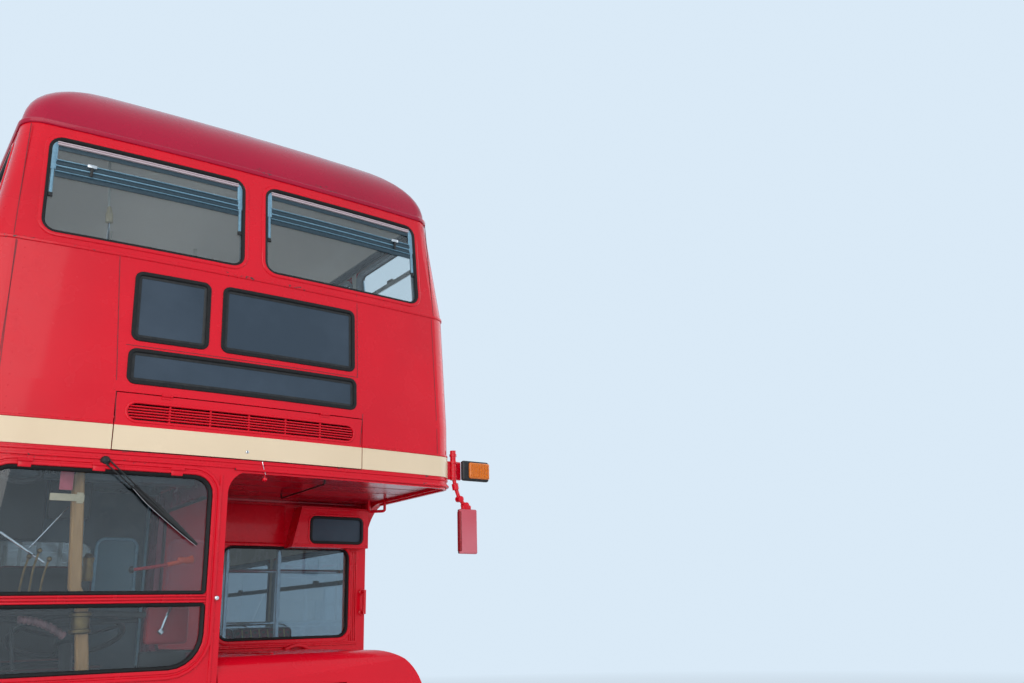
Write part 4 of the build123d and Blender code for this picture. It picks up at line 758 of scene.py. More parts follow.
ROOF_TURNS = [radians(90 * n / 16) for n in range(17)]
# The roof's sheets take the darker red, which is painted shade and painted sky reflection
piece = Piece("roof_red_painted_shade")
outer = piece.loft([dome_ring(0, a) for a in ROOF_TURNS], caps=False)
piece.face(outer[-1])
piece.use("ceiling")
inner = piece.loft([dome_ring(0.026, a) for a in ROOF_TURNS[::2]], caps=False)
piece.face(inner[-1])
for n in range(len(outer[0])):
    piece.face((outer[0][n - 1], outer[0][n], inner[0][n], inner[0][n - 1]))
piece.use("roof_red_painted_shade")
GUTTER = [(-0.012, -0.004), (-0.012, 0.008), (-0.006, 0.012), (0.008, 0.012), (0.012, 0.009), (0.012, 0.005)]
piece.sweep(*body_loop(3.939), GUTTER + [(0.004, 0.004), (0.004, -0.004)], True)
piece.make("roof_skin", "body_red", hides=["roof"])


def open_loop(z, gap, end):
    """Once round the body at a height, but for the middle of one end."""
    points, normals = body_loop(z)
    keep = [n for n, p in enumerate(points) if abs(p.x) > gap + 0.02 or p.y * end < 0]
    start = next(k for k in keep if (k - 1) % len(points) not in keep)
    order = [(start + n) % len(points) for n in range(len(keep))]
    side = "front" if end < 0 else "rear"
    first = copysign(gap, points[order[0]].x)
    path = [spot(side, first, z), *[points[n] for n in order], spot(side, -first, z)]
    return path, [facing(side, first, z), *[normals[n] for n in order], facing(side, -first, z)]


# Mouldings and panel seams round the body
piece = Piece("body_red")
piece.sweep(*open_loop(WAIST_Z, 0.665, 1), bead(0.009, 0.007))
for z in (2.336, 2.310):
    piece.sweep(*body_loop(z), bead(0.006, 0.006), True)
piece.sweep(*open_loop(2.472, 0.640, -1), bead(0.006, 0.006))
for side in SIDES:
    first, last = (BULKHEAD_Y, ENTRANCE_Y) if side == "near" else (DOOR_PATH_END, 4.02)
    for z, width, height in ((SILL_Z, 0.014, 0.008), (1.330, 0.007, 0.008), (2.100, 0.006, 0.005)):
        piece.line(side, (first, last), z, bead(width, height))
    for y in ((DOOR_PATH_END - 0.18, REAR_AXLE_Y - 0.670), (REAR_AXLE_Y + 0.670, last)):
        piece.line(side, y, 0.470, bead(0.009, 0.008))
    piece.line(side, (BULKHEAD_Y - 0.8, 4.0), LEAN_Z, bead(0.006, 0.005))
PILLAR_STRIPS = [
    ((2.345, 2.10), 0.020, 0.004), ((1.33, SILL_Z), 0.020, 0.004),
    ((2.475, 3.29), 0.014, 0.003), ((3.305, 3.92), 0.020, 0.004),
]
for side in SIDES:
    for y in PILLARS:
        for z, width, height in PILLAR_STRIPS:
            piece.line(side, y, z, bead(width, height))
    for y in PILLARS[1:]:
        if min(abs(y - REAR_AXLE_Y), abs(y - FRONT_AXLE_Y)) > 0.65:
            piece.line(side, y, (0.42, 1.25), bead(0.012, 0.003))
piece.line("rear", (-1.08, 1.08), SILL_Z, bead(0.014, 0.008))
piece.line("rear", (-1.08, 1.08), LEAN_Z, bead(0.006, 0.005))
piece.make("body_mouldings", "body_red")

piece = Piece("seam")
LINE = strip(-0.0016, 0.0016, -0.002, 0.0008)
for start, end in (
    ((-0.660, 3.288), (-0.618, 2.478)), ((0.594, 3.352), (0.594, 2.850)), ((-0.600, 2.849), (0.600, 2.849)),
    ((0.626, 2.650), (0.612, 2.478)), ((-1.100, 2.480), (-1.100, 3.290)),
):
    piece.run("front", [start, end], LINE)
for z, rise in ((2.480, 0.80), (3.303, 0.61)):
    for x in (-1.112, 1.112):
        piece.run("front", [(x, z), (x * 0.985, z + rise)], LINE)
for side in SIDES:
    for y in PILLARS:
        for shift in (-0.022, 0.022):
            piece.line(side, y + shift, (2.48, 3.288), LINE)
piece.make("panel_seams", "body_red")

piece = Piece("body_red")
for n in range(12):
    share = n / 11
    piece.stud("front", -0.668 + 0.042 * share, 3.20 - 0.70 * share, 0.0035, 0.0022)
    piece.stud("front", 0.604, 3.34 - 0.045 * n, 0.0035, 0.0022)
for n in range(17):
    for x in (-1.06, 1.06):
        piece.stud("front", x, 2.500 + 0.05 * n, 0.003, 0.002)
for n in range(22):
    piece.stud("front", -1.02 + 0.097 * n, 3.920, 0.004, 0.003)
for side in SIDES:
    for y in PILLARS:
        for n in range(16):
            for shift in (0.032, -0.032):
                piece.stud(side, y + shift, 2.50 + 0.05 * n, 0.0035, 0.0025)
    for n in range(58):
        y = BULKHEAD_Y + 0.08 + 0.097 * n
        if abs(y - REAR_AXLE_Y) > 0.62 and y < ENTRANCE_Y - 0.03:
            for z in (1.235, 0.500):
                piece.stud(side, y, z, 0.004, 0.003)
piece.make("rivets", "body_red")

# Windows: pressed rims, rubber seals and the cappings inside
piece = Piece("body_red")
for side, u, z, low in WINDOWS:
    width, middle = (0.010, 0.014) if side == "front" else (0.009, 0.013)
    piece.ring(side, u, z, WINDOW_R, bead(width, 0.003 if low else 0.006, middle=middle))
piece.make("window_rims", "body_red")

SEAL = [(-0.010, -0.012), (-0.010, -0.003), (-0.004, 0.004), (0.002, 0.006), (0.007, 0.003), (0.007, -0.002)]
SEAL += [(0.001, -0.002), (0.001, -0.012)]
piece = Piece("rubber")
for side, u, z, low in WINDOWS:
    piece.ring(side, u, z, WINDOW_R, [(a, min(b, 0.003)) for a, b in SEAL] if low else SEAL)
for side, u, z in (
    ("bulk", BULK_X, BULK_Z), ("inner", (-4.040, -3.260), CAB_WINDOW_Z),
    ("off", (-4.010, -3.860), CAB_WINDOW_Z),
):
    piece.ring(side, u, z, WINDOW_R, SEAL)
for u, z in BLINDS:
    piece.ring("front", u, z, BLIND_R, bead(0.0095, 0.006, middle=-0.001))
piece.ring("box", *NUMBER_BOX, BLIND_R, bead(0.0085, 0.005, middle=-0.001))
piece.make("window_seals", "black")

piece = Piece("panel_grey")
CAPPING = [(-0.005, -0.049), (-0.005, -0.014), (0.0, -0.014)]
CAPPING += [(0.0, -0.0455), (0.020, -0.0455), (0.020, -0.049)]
for side, u, z, low in WINDOWS:
    piece.ring(side, u, z, WINDOW_R, CAPPING)
piece.make("window_cappings", "body_red")

# Half-drop lights of the upper front windows: channels, rails and catches
FRONT_SUNK = 0.010
CHANNELS = [
    ("channel", (3.844, 3.690), 0.015, 0.008), ("channel", (3.690, 3.557), 0.008, 0.007),
    ("black", (3.560, 3.540), 0.011, 0.009),
]
RAILS = [
    ("rail_blue", 3.814, 0.012, 0.004), ("channel", 3.744, 0.003, 0.010), ("rail_blue", 3.728, 0.011, 0.007),
    ("channel", 3.712, 0.004, 0.009), ("rail_blue", 3.697, 0.010, 0.006), ("channel", 3.683, 0.0025, 0.008),
    ("rail_blue", 3.666, 0.013, 0.005),
]
# The blue of the channels and rails is painted sky reflection
piece = Piece("channel")
for x0, x1 in FRONT_WINDOWS:
    for x in (x0 + 0.020, x1 - 0.020):
        for material, z, width, height in CHANNELS:
            piece.use(material)
            piece.line("front", x, z, sunk(bead(width, height, 0.0), FRONT_SUNK))
    between = (x0 + 0.030, x1 - 0.030)
    # The top bar's pinkish colour is painted reflection
    piece.use("topbar_painted_reflection")
    piece.line("front", between, 3.838, sunk(double_bead(-0.010, 0.010, 0.009, 0.0), FRONT_SUNK))
    for material, z, width, height in RAILS:
        piece.use(material)
        piece.line("front", between, z, sunk(bead(width, height, 0.0), FRONT_SUNK))
    catch = spot("front", x0 + (0.2 if x0 < 0 else 0.85) * (x1 - x0), 3.738, -0.004)
    piece.use("aluminium")
    piece.block(catch + Vector((-0.022, -0.014, -0.008)), catch + Vector((0.022, 0.004, 0.010)), 0.003)
    piece.use("black")
    piece.block(catch + Vector((-0.007, -0.016, -0.055)), catch + Vector((0.007, -0.008, -0.006)), 0.003)
piece.make("front_half_drops", "aluminium")

SIDE_SUNK = 0.011
side_rail = sunk(double_bead(-0.015, 0.015, 0.011, 0.0), SIDE_SUNK)
side_channel = sunk(bead(0.009, 0.009, 0.0), SIDE_SUNK)
side_catch = sunk(bead(0.009, 0.018, 0.0), SIDE_SUNK)
# The channels here take the blue painted sky reflection too
piece = Piece("aluminium")
for side in SIDES:
    for bays, z, rail in ((UPPER_BAYS, UPPER_Z, 3.700), (BAYS, LOWER_Z, 1.845)):
        for y0, y1 in bays:
            piece.use("aluminium")
            piece.line(side, (y0 + 0.010, y1 - 0.010), rail, side_rail)
            piece.use("channel")
            for y in (y0 + 0.018, y1 - 0.018):
                piece.line(side, y, (rail + 0.01, z[1] - 0.03), side_channel)
            piece.use("black")
            middle = (y0 + y1) / 2
            piece.line(side, (middle - 0.03, middle + 0.03), rail + 0.022, side_catch)
piece.make("side_half_drops", "aluminium")

# Inner frames of the number, via and destination blinds
piece = Piece("black")
BLIND_FRAME = [(-0.024, -0.0065), (-0.024, -0.0045), (-0.021, -0.0035), (-0.006, -0.0035), (-0.006, -0.0065)]
for u, z in BLINDS:
    piece.ring("front", u, z, BLIND_R, BLIND_FRAME)
piece.make("blind_frames", "black")

# Intake flap: bead round the slatted opening, slats and lock, with a black back behind them as painted shade
# in the opening
SLAT = [(-0.0025, -0.010), (-0.004, 0.0), (-0.002, 0.003), (0.002, 0.001), (0.003, -0.010)]
piece = Piece("body_red")
piece.ring("front", (-0.570, 0.570), (2.494, 2.574), 0.039, bead(0.006, 0.005, middle=0.005))
for z in (2.507, 2.521, 2.534, 2.547, 2.561):
    piece.line("front", (-0.560, 0.560), z, SLAT)
for material, radius, height in (("chrome", 0.010, 0.010), ("black", 0.005, 0.0115)):
    piece.use(material)
    piece.stud("front", -0.004, 2.388, radius, height)
piece.make("flap_trim", "body_red", "intake_flap")
# Black back and ribs behind the grille: painted shade in the duct
piece = Piece("black")
piece.block((-0.600, -4.120, 2.470), (0.600, -4.105, 2.600), 0.003)
for n in range(9):
    x = -0.52 + 0.13 * n
    piece.block((x - 0.004, -4.128, 2.475), (x + 0.004, -4.118, 2.595), 0.001)
piece.make("intake_shade_backing", "black")

# Cab windscreen: ribbed red frame, seal, middle rail, hinges and catch
piece = Piece("body_red")
piece.ring("front", SCREEN_X, SCREEN_Z, 0.080, double_bead(0.008, 0.046, 0.010), 0.140)
for z in (1.692, 1.705, 1.718):
    piece.line("front", (SCREEN_X[0] - 0.006, SCREEN_X[1] + 0.006), z, bead(0.005, 0.009))
for x in (-0.666, -0.330, -0.960):
    place = spot("front", x, 2.281, 0.010)
    piece.tube([place - Vector((0.030, 0, 0)), place + Vector((0.030, 0, 0))], 0.009)
    piece.block(place + Vector((-0.026, -0.002, -0.030)), place + Vector((0.026, 0.008, 0.0)), 0.002)
piece.line("front", -0.120, (1.30, 2.270), bead(0.007, 0.006))
piece.use("chrome")
place = spot("front", -0.112, 1.706, 0.008)
piece.turned([(0.013, -0.01), (0.013, 0.004), (0.009, 0.010), (0.003, 0.012)], place, FORWARD, 14)
piece.make("windscreen_frame", "body_red")
piece = Piece("rubber")
for z, top, low in (
    ((RAIL_Z[1] + 0.004, SCREEN_Z[1]), 0.080, 0.012), ((SCREEN_Z[0], RAIL_Z[0] - 0.004), 0.012, 0.140),
):
    piece.ring("front", SCREEN_X, z, top, SEAL, low)
piece.make("windscreen_seals", "black")

# Wiper with its twin arm and blade
start, tip = Vector((-0.643, 0, 2.298)), Vector((-0.218, 0, 1.942))


def on_screen(share, out):
    """Point between the wiper's spindle and its tip, in front of the glass."""
    x = start.x + (tip.x - start.x) * share
    z = start.z + (tip.z - start.z) * share
    return spot("front", x, z, out)


piece = Piece("black")
piece.turned([(0.022, 0.0), (0.022, 0.010), (0.016, 0.020), (0.008, 0.026)], on_screen(0, 0), FORWARD, 16)
for shift in (Vector((0.007, 0, 0.008)), Vector((-0.007, 0, -0.008))):
    piece.tube([on_screen(k / 6 * 0.62, 0.020) + shift * (1 - 0.6 * k / 6) for k in range(7)], 0.0035, 8)
blade = [on_screen(0.30 + 0.70 * k / 8, 0.012 + 0.003 * sin(pi * k / 8)) for k in range(9)]
across = (blade[-1] - blade[0]).normalized().cross(FORWARD).normalized()
rings, edge = [], []
for point, w in zip(blade, (0.007, 0.013, 0.017, 0.017, 0.016, 0.014, 0.012, 0.009, 0.005)):
    shape = [(-w, -0.006), (-w, 0.001), (-0.3 * w, 0.006), (0.5 * w, 0.006), (w, -0.006)]
    rings.append([point + across * a + FORWARD * b for a, b in shape])
    edge.append(point + across * (w + 0.001) + FORWARD * 0.001)
piece.loft(rings)
piece.use("chrome")
piece.tube(edge, 0.0016, 6)
piece.make("wiper_arm", "black", hides=["wiper"])

# Canopy: ribbed lower edge, lined soffit, stay rod, hook and knob
piece = Piece("body_red")
EDGE_Z = 2.303
rows = [row for row in quarter(section_at(2.30)[0], CORNER_R) if row[0] > 0.15]
path = [Vector((x, FRONT_Y + depth, EDGE_Z)) for x, depth, nx, ny in rows]
path = [spot("front", -0.06, EDGE_Z), *path, spot("near", BULKHEAD_Y, EDGE_Z)]
outs = [FORWARD, *[Vector((nx, -ny, 0)) for x, depth, nx, ny in rows], Vector((1, 0, 0))]
piece.sweep(path, outs, bead(0.007, 0.012))
piece.sweep([p - Vector((0, 0, 0.012)) for p in path], [-o for o in outs], strip(-0.014, 0.004, 0.002, 0.018))
piece.use("seam")
for y in (-3.265, -3.457, -3.671, -3.870, -4.060):
    piece.line("soffit", (-0.075, 1.165), y, strip(-0.002, 0.002, -0.001, 0.0012))
piece.use("soffit_red")
piece.line("soffit", -0.060, (-3.12, -4.10), bead(0.010, 0.010))
piece.line("soffit", (-0.075, 1.165), -3.118, bead(0.012, 0.012))
piece.use("black")
stay = [(0.502, -3.421, 2.312), (0.502, -3.425, 2.285), (0.484, -4.029, 2.285), (0.484, -4.035, 2.312)]
piece.bent(stay, 0.005, 0.02)
piece.use("body_red")
hook = [(1.108, -3.350, 2.312), (1.108, -3.350, 2.243), (1.180, -3.420, 2.243), (1.180, -3.420, 2.312)]
piece.bent(hook, 0.009, 0.015)
knob = [(0.004, 0.0), (0.004, 0.018), (0.012, 0.022), (0.012, 0.032), (0.004, 0.036)]
piece.turned(knob, (0.099, -4.170, 2.290), (0, -0.2, -1), 12)
piece.use("chrome")
piece.tube([(0.097, -4.188, 2.285), (0.082, -4.196, 2.315), (0.075, -4.196, 2.346)], 0.0022, 6)
piece.make("canopy_trim", "body_red")

# Bulkhead: window frame, flat panel, ribbed post, mouldings, arched stop and strips behind the window
piece = Piece("body_red")
piece.ring("bulk", BULK_X, BULK_Z, WINDOW_R, bead(0.012, 0.008, middle=0.018))
piece.block((0.255, -3.112, 2.058), (0.660, -3.098, 2.285), 0.006)
piece.block((0.255, -3.124, 2.040), (0.660, -3.098, 2.058), 0.005)
for x in (1.118, 1.130, 1.142, 1.154):
    piece.line("bulk", x, (1.46, 2.02), bead(0.0045, 0.008))
for z in (1.476, 1.466):
    piece.line("bulk", (0.0, 1.165), z, bead(0.006, 0.010))
arch = [Vector((0.689 + 0.155 * k / 10, -3.118, 1.448 + 0.022 * sin(pi * k / 10))) for k in range(11)]
stop = [(-0.012, -0.02), (-0.012, 0.012), (-0.006, 0.018), (0.006, 0.018), (0.010, -0.02)]
piece.sweep(arch, FORWARD, stop)
piece.ring("box", *NUMBER_BOX, BLIND_R, bead(0.006, 0.004, middle=0.014))
for z in (1.649, 1.773):
    piece.turned([(0.020, 0.0), (0.020, 0.006), (0.014, 0.009)], (1.1965, -3.102, z), FORWARD, 14)
piece.use("orange_red")
for x in (0.300, 1.090):
    piece.block((x - 0.006, -3.066, 1.52), (x + 0.006, -3.058, 2.03), 0.002)
piece.make("bulkhead_trim", "body_red")

# Number box: beads along its case
piece = Piece("body_red")
piece.line("box", (0.680, 1.165), 2.045, bead(0.005, 0.004))
piece.line("box", (0.735, 1.175), 2.262, bead(0.005, 0.004))
piece.make("number_box_trim", "body_red")

# Indicators in ribbed black housings, and mirrors on jointed arms
piece = Piece("black")
mirrors = Piece("body_red")
for sign in (1, -1):
    piece.use("black")
    piece.block(*mirrored(sign, (1.296, -4.126, 2.345), (1.480, -4.094, 2.461)), 0.016, 4)
    piece.use("amber")
    for y0, y1, rib_y in ((-4.138, -4.118, -4.139), (-4.102, -4.083, -4.082)):
        piece.block(*mirrored(sign, (1.336, y0, 2.358), (1.475, y1, 2.450)), 0.012, 4)
        for n in range(11):
            x = sign * (1.348 + 0.0115 * n)
            piece.tube([(x, rib_y, 2.366), (x, rib_y, 2.440)], 0.0028, 6)
    piece.use("body_red")
    piece.block(*mirrored(sign, (1.208, -4.088, 2.350), (1.306, -4.072, 2.455)), 0.004)
    piece.tube([(sign * 1.250, -4.092, 2.346), (sign * 1.250, -4.092, 2.515)], 0.017, 14)
    for z in (2.362, 2.404, 2.446, 2.488):
        piece.tube([(sign * 1.250, -4.092, z - 0.006), (sign * 1.250, -4.092, z + 0.006)], 0.021, 14)
    piece.use("black")
    piece.tube([(sign * 1.310, -4.110, 2.352), (sign * 1.310, -4.110, 2.454)], 0.015, 12)
    mirrors.use("body_red")
    arm = [(1.255, -4.090, 2.360), (1.264, -4.092, 2.310), (1.286, -4.100, 2.240), (1.318, -4.108, 2.205)]
    arm = [(sign * x, y, z) for x, y, z in arm + [(1.322, -4.112, 2.150)]]
    mirrors.bent(arm, 0.011, 0.03, 12)
    collar = [(0.010, -0.020), (0.019, -0.017), (0.019, 0.017), (0.010, 0.020)]
    joint = [(0.008, -0.021), (0.018, -0.018), (0.018, 0.018), (0.008, 0.021)]
    mirrors.turned(collar, arm[1], (0.2 * sign, 0, -1), 14)
    for place in (arm[2], arm[3]):
        mirrors.turned(joint, place, (0, 1, 0.1), 16)
    for material, low, high, bevel, segments in (
        ("body_red", (1.292, -4.124, 2.178), (1.352, -4.100, 2.206), 0.008, 3),
        ("mirror_back", (1.264, -4.136, 1.934), (1.383, -4.114, 2.182), 0.016, 5),
        ("wheel_red", (SILL_Z, -4.1375, 1.946), (1.278, -4.108, 2.170), 0.006, 3),
        ("rubber", (1.265, -4.118, 1.936), (1.382, -4.109, 2.180), 0.012, 3),
        ("mirror", (1.272, -4.111, 1.945), (1.375, -4.106, 2.171), 0.008, 3),
    ):
        mirrors.use(material)
        mirrors.block(*mirrored(sign, low, high), bevel, segments)
piece.make("indicator_lamps", "amber", hides=["indicators"])
mirrors.make("mirror_arms", "body_red", hides=["mirrors"])

# Things in the cab: dash, post, tape, tag, ring, boxes, rods, sleeve, levers, hose, handles, pane
piece = Piece("cab_grey")
piece.block((-1.150, -4.110, 1.130), (-0.145, -3.985, 1.360), 0.02, 3)
piece.block((-1.120, -4.020, 1.360), (-0.180, -3.960, 1.400), 0.012, 3)
piece.block((-0.990, -3.985, 2.240), (-0.180, -3.900, 2.300), 0.01)
piece.use("tan")
post = [(-0.722, -4.045, 2.295), (-0.688, -4.052, 1.760), (-0.655, -4.056, 1.700), (-0.624, -4.060, 1.400)]
shape = [(-0.025, -0.018), (-0.025, 0.010), (-0.018, 0.017), (0.018, 0.017), (0.025, 0.010), (0.025, -0.018)]
piece.sweep([Vector(p) for p in post], FORWARD, shape)
piece.use("cream_tape")
piece.block((-0.832, -4.074, 2.128), (-0.690, -4.066, 2.160), 0.003)
piece.block((-0.722, -4.072, 2.120), (-0.694, -4.030, 2.168), 0.003)
piece.use("pale_tag")
piece.block((-0.803, -4.100, 2.172), (-0.748, -4.092, 2.285), 0.012, 3)
piece.use("black")
ring = [(-0.956 + 0.082 * cos(a), -4.060, 2.240 + 0.036 * sin(a)) for a in around(24)]
piece.tube(ring, 0.013, 10, True)
for n in range(9):
    piece.tube([(-0.872 + 0.016 * n, -4.052, 2.262), (-0.864 + 0.016 * n, -4.052, 2.262)], 0.016, 12)
piece.block((-1.105, -4.062, 2.120), (-1.045, -3.960, 2.270), 0.01)
piece.block((-1.120, -3.780, 1.980), (-0.790, -3.740, 2.270), 0.015)
piece.block((-0.785, -3.800, 2.080), (-0.600, -3.760, 2.270), 0.012)
piece.bent([(-1.070, -4.035, 1.668), (-0.720, -4.030, 1.655), (-0.375, -4.030, 1.640)], 0.015, 0.05)
piece.bent([(-0.980, -4.010, 1.640), (-0.760, -4.000, 1.606), (-0.400, -4.010, 1.618)], 0.010, 0.05)
for n in range(4):
    piece.tube([(-1.04 + 0.05 * n, -4.030, 1.43), (-1.06 + 0.05 * n, -4.000, 1.60)], 0.008, 8)
knob = [(0.004, 0.0), (0.016, 0.006), (0.016, 0.018), (0.004, 0.024)]
piece.turned(knob, (-0.470, -4.052, 1.836), (1, 0, 0.1), 14)
piece.block((-0.350, -3.900, 1.400), (-0.140, -3.870, 1.480), 0.006)
piece.use("brass")
sleeve = [(0.040, 0.0), (0.046, 0.006), (0.046, 0.018), (0.038, 0.022), (0.038, 0.070), (0.046, 0.074)]
piece.turned(sleeve + [(0.046, 0.086), (0.038, 0.092)], (-0.652, -4.066, 1.566), (-0.03, 0, 1), 18)
knob = [(0.004, 0.0), (0.011, 0.006), (0.011, 0.016), (0.004, 0.022)]
for x, z in ((-0.880, 1.880), (-0.842, 1.905), (-0.800, 1.870)):
    piece.bent([(x - 0.02, -4.010, 1.700), (x - 0.012, -4.020, z - 0.06), (x, -4.030, z)], 0.0045, 0.03, 8)
    piece.turned(knob, (x, -4.030, z), (0.3, 0, 1), 12)
knob = [(0.022, 0.0), (0.026, 0.03), (0.020, 0.07), (0.026, 0.10), (0.012, 0.12)]
piece.turned(knob, (-0.628, -3.985, 1.790), UP, 16)
piece.use("hose")
hose = [Vector((-0.890 + 0.019 * n, -4.012, 1.632 - 0.00075 * n * n)) for n in range(11)]
piece.tube(hose, 0.014, 12)
for n in range(10):
    piece.tube([hose[n].lerp(hose[n + 1], 0.3), hose[n].lerp(hose[n + 1], 0.8)], 0.018, 12)
piece.use("wheel_red")
piece.block((-0.360, -4.020, 1.512), (-0.172, -3.960, 1.676), 0.014, 3)
piece.bent([(-0.455, -4.050, 1.837), (-0.376, -4.050, 1.848), (-0.300, -4.050, 1.862)], 0.008, 0.03)
piece.use("orange_red")
piece.bent([(-0.300, -4.050, 1.862), (-0.240, -4.050, 1.874), (-0.185, -4.050, 1.898)], 0.010, 0.03)
piece.block((-0.255, -4.062, 1.868), (-0.178, -4.040, 1.896), 0.009, 3)
piece.use("chrome")
piece.bent([(-0.308, -4.050, 1.560), (-0.290, -4.055, 1.620), (-0.268, -4.055, 1.680)], 0.006, 0.02, 8)
piece.tube([(-0.316, -4.050, 1.575), (-0.300, -4.050, 1.560)], 0.012, 10)
piece.tube([(-0.737, -4.000, 2.111), (-0.877, -4.000, 1.928)], 0.0028, 8)
piece.tube([(-0.996, -4.000, 1.993), (-0.808, -4.000, 1.866)], 0.005, 8)
for x, z in ((-0.52, 1.27), (-0.49, 1.33)):
    piece.turned([(0.026, 0.0), (0.026, 0.010), (0.020, 0.014), (0.008, 0.014)], (x, -4.112, z), FORWARD, 18)
piece.use("teal_pane")
piece.pane("bulk", *CAB_PANE, 0.004)
# The ring round the pane takes the channel's blue, a painted sky reflection
piece.use("channel")
piece.ring("bulk", *CAB_PANE, bead(0.009, 0.010))
for x in (-0.480, -0.145):
    piece.block((x - 0.006, -3.120, 1.400), (x + 0.006, -3.098, 2.280), 0.003)
piece.make("cab_fittings", "black")

# Steering wheel: rim, spokes and boss
tilt = radians(22)
axis = Vector((0, sin(tilt), cos(tilt)))
hub = Vector((-0.650, -3.800, 1.560))
across = Vector((1, 0, 0))


def toward(angle):
    """Direction in the plane of the steering wheel."""
    return across * cos(angle) + axis.cross(across) * sin(angle)


piece = Piece("black")
piece.sweep([hub + toward(a) * 0.235 for a in around(45)], axis, circle(0.0125), True)
for a in around(3, 0.75):
    spoke = [
        hub - axis * 0.004 + toward(a) * (0.02 + 0.212 * k / 5) - axis * 0.008 * sin(pi * k / 5)
        for k in range(6)
    ]
    piece.sweep(spoke, axis, [(-0.010, -0.005), (-0.008, 0.004), (0.008, 0.004), (0.010, -0.005)])
boss = [(0.030, -0.044), (0.048, -0.036), (0.048, -0.010), (0.038, 0.004), (0.020, 0.010), (0.004, 0.011)]
piece.turned(boss, hub, axis, 24)
piece.make("steering_rim", "black", "steering_wheel", ["steering_wheel"])

# Lamps: rims and domed lenses
# Place (x, z), radius, depth, end of the bus (-1 front) and lens
LAMPS = [
    (0.880, 0.830, 0.100, 0.090, -1, "lamp"), (1.090, 1.090, 0.035, 0.030, -1, "lamp"),
    (1.090, 0.760, 0.035, 0.030, 1, "tail_red"),
]
# Shares of the radius and of the depth, after a first row that stands 35 mm inside
RIM = [(0.72, None), (0.86, 0.35), (0.98, 0.62), (1.0, 0.80)]
RIM += [(0.96, 0.92), (0.88, 0.90), (0.86, 0.5), (0.3, 0.4)]
piece = Piece("chrome")
for x, z, radius, depth, end, lens in LAMPS:
    for sign in (1, -1):
        centre = Vector((sign * x, face_y(x, z, end), z))
        piece.use("chrome")
        rim = [(radius * a, -0.035 if b is None else depth * b) for a, b in RIM]
        piece.turned(rim, centre, (0, end, 0), 32)
        piece.use(lens)
        wide = radius * 0.89
        dome = [(wide, depth * 0.80)]
        for a in range(0, 86, 12):
            dome.append((wide * cos(radians(a)), depth * (0.84 + 0.15 * sin(radians(a)))))
        piece.turned(dome, centre, (0, end, 0), 32)
        if lens == "lamp" and radius > 0.05:
            for n in range(9):
                dx = radius * 0.8 * (n - 4) / 4.4
                reach = sqrt((radius * 0.84) ** 2 - dx * dx)
                lift = depth * (0.84 + 0.12 * sqrt(1 - (dx / wide) ** 2))
                flute = ((lift, -reach), (lift + 0.004, 0), (lift, reach))
                piece.tube([centre + Vector((dx, end * out, dz)) for out, dz in flute], 0.0022, 6)
piece.make("lamp_set", "lamp", hides=["lamps"])

# Grille surround, bonnet ridge and catches, beads round the wheel arches
piece = Piece("aluminium")
piece.ring("cowl", (-0.030, 0.505), (0.620, 1.245), 0.020, double_bead(0.002, 0.026, 0.010))
piece.make("grille_surround", "aluminium")
piece = Piece("body_red")
piece.sweep([Vector((0.238, y, 1.4485)) for y in (-4.030, -3.250)], UP, bead(0.006, 0.005))
for y in (-3.98, -3.60):
    piece.block((1.016, y - 0.04, 1.20), (1.038, y + 0.04, 1.235), 0.006)
piece.make("bonnet_trim", "body_red", "bonnet")
piece = Piece("body_red")
for sign in (1, -1):
    for axle in (FRONT_AXLE_Y, REAR_AXLE_Y):
        turns = [radians(-10 + 200 * k / 32) for k in range(33)]
        arc = [around_axle(sign * (HALF_WIDTH + 0.001), axle, ARCH_BEAD_R, a) for a in turns]
        piece.sweep(arc, Vector((sign, 0, 0)), bead(0.010, 0.007))
piece.make("wheel_arch_beads", "body_red")

# Engine: rocker covers with nuts, injector pipes, hose and fan
ENGINE_X = 0.230
nut = [(0.020, 0.0), (0.020, 0.006), (0.011, 0.007), (0.011, 0.020), (0.008, 0.022)]
piece = Piece("engine_paint")
for y0, y1 in ((-3.850, -3.540), (-3.510, -3.200)):
    piece.use("engine_paint")
    piece.block((0.120, y0, 1.326), (0.340, y1, 1.378), 0.020, 4)
    piece.block((0.105, y0 - 0.008, 1.326), (0.355, y1 + 0.008, 1.336), 0.003)
    piece.use("chrome")
    for y in (y0 + 0.07, y1 - 0.07):
        piece.turned(nut, (ENGINE_X, y, 1.377), UP, 12)
piece.use("aluminium")
for n in range(6):
    y = -3.790 + 0.105 * n
    piece.bent([(0.408, y, 1.180), (0.416, y, 1.300), (0.352, y + 0.02, 1.352)], 0.005, 0.03, 8)
piece.use("black")
piece.block((0.400, -3.830, 1.100), (0.455, -3.220, 1.200), 0.015, 3)
hose = [(-3.880, 1.270), (-3.960, 1.275), (-4.030, 1.200), (-4.100, 1.190)]
piece.bent([(ENGINE_X, y, z) for y, z in hose], 0.030, 0.06, 14)
boss = [(0.060, 0.0), (0.060, 0.050), (0.045, 0.056), (0.020, 0.060)]
piece.turned(boss, (ENGINE_X, -3.888, 1.040), FORWARD, 20)
for a in around(6):
    vane = [Vector((ENGINE_X + r * cos(a), -3.935, 1.040 + r * sin(a))) for r in (0.03, 0.10, 0.165)]
    piece.sweep(vane, Vector((0.5 * sin(a), -1, -0.5 * cos(a))), strip(-0.022, 0.030, -0.002, 0.002))
piece.make("engine_dress", "engine_paint")

# Cab door: seal, handle and moulding
piece = Piece("rubber")
piece.ring("door", (-3.710, -3.290), (1.470, 2.160), WINDOW_R, SEAL)
piece.use("chrome")
handle = ((-1.250, 1.40), (-1.272, 1.40), (-1.272, 1.28), (-1.250, 1.28))
piece.bent([(x, -3.74, z) for x, z in handle], 0.006, 0.012)
piece.use("body_red")
piece.line("door", (-3.79, -3.21), SILL_Z, bead(0.012, 0.006))
piece.make("door_trim", "body_red", "cab_door")

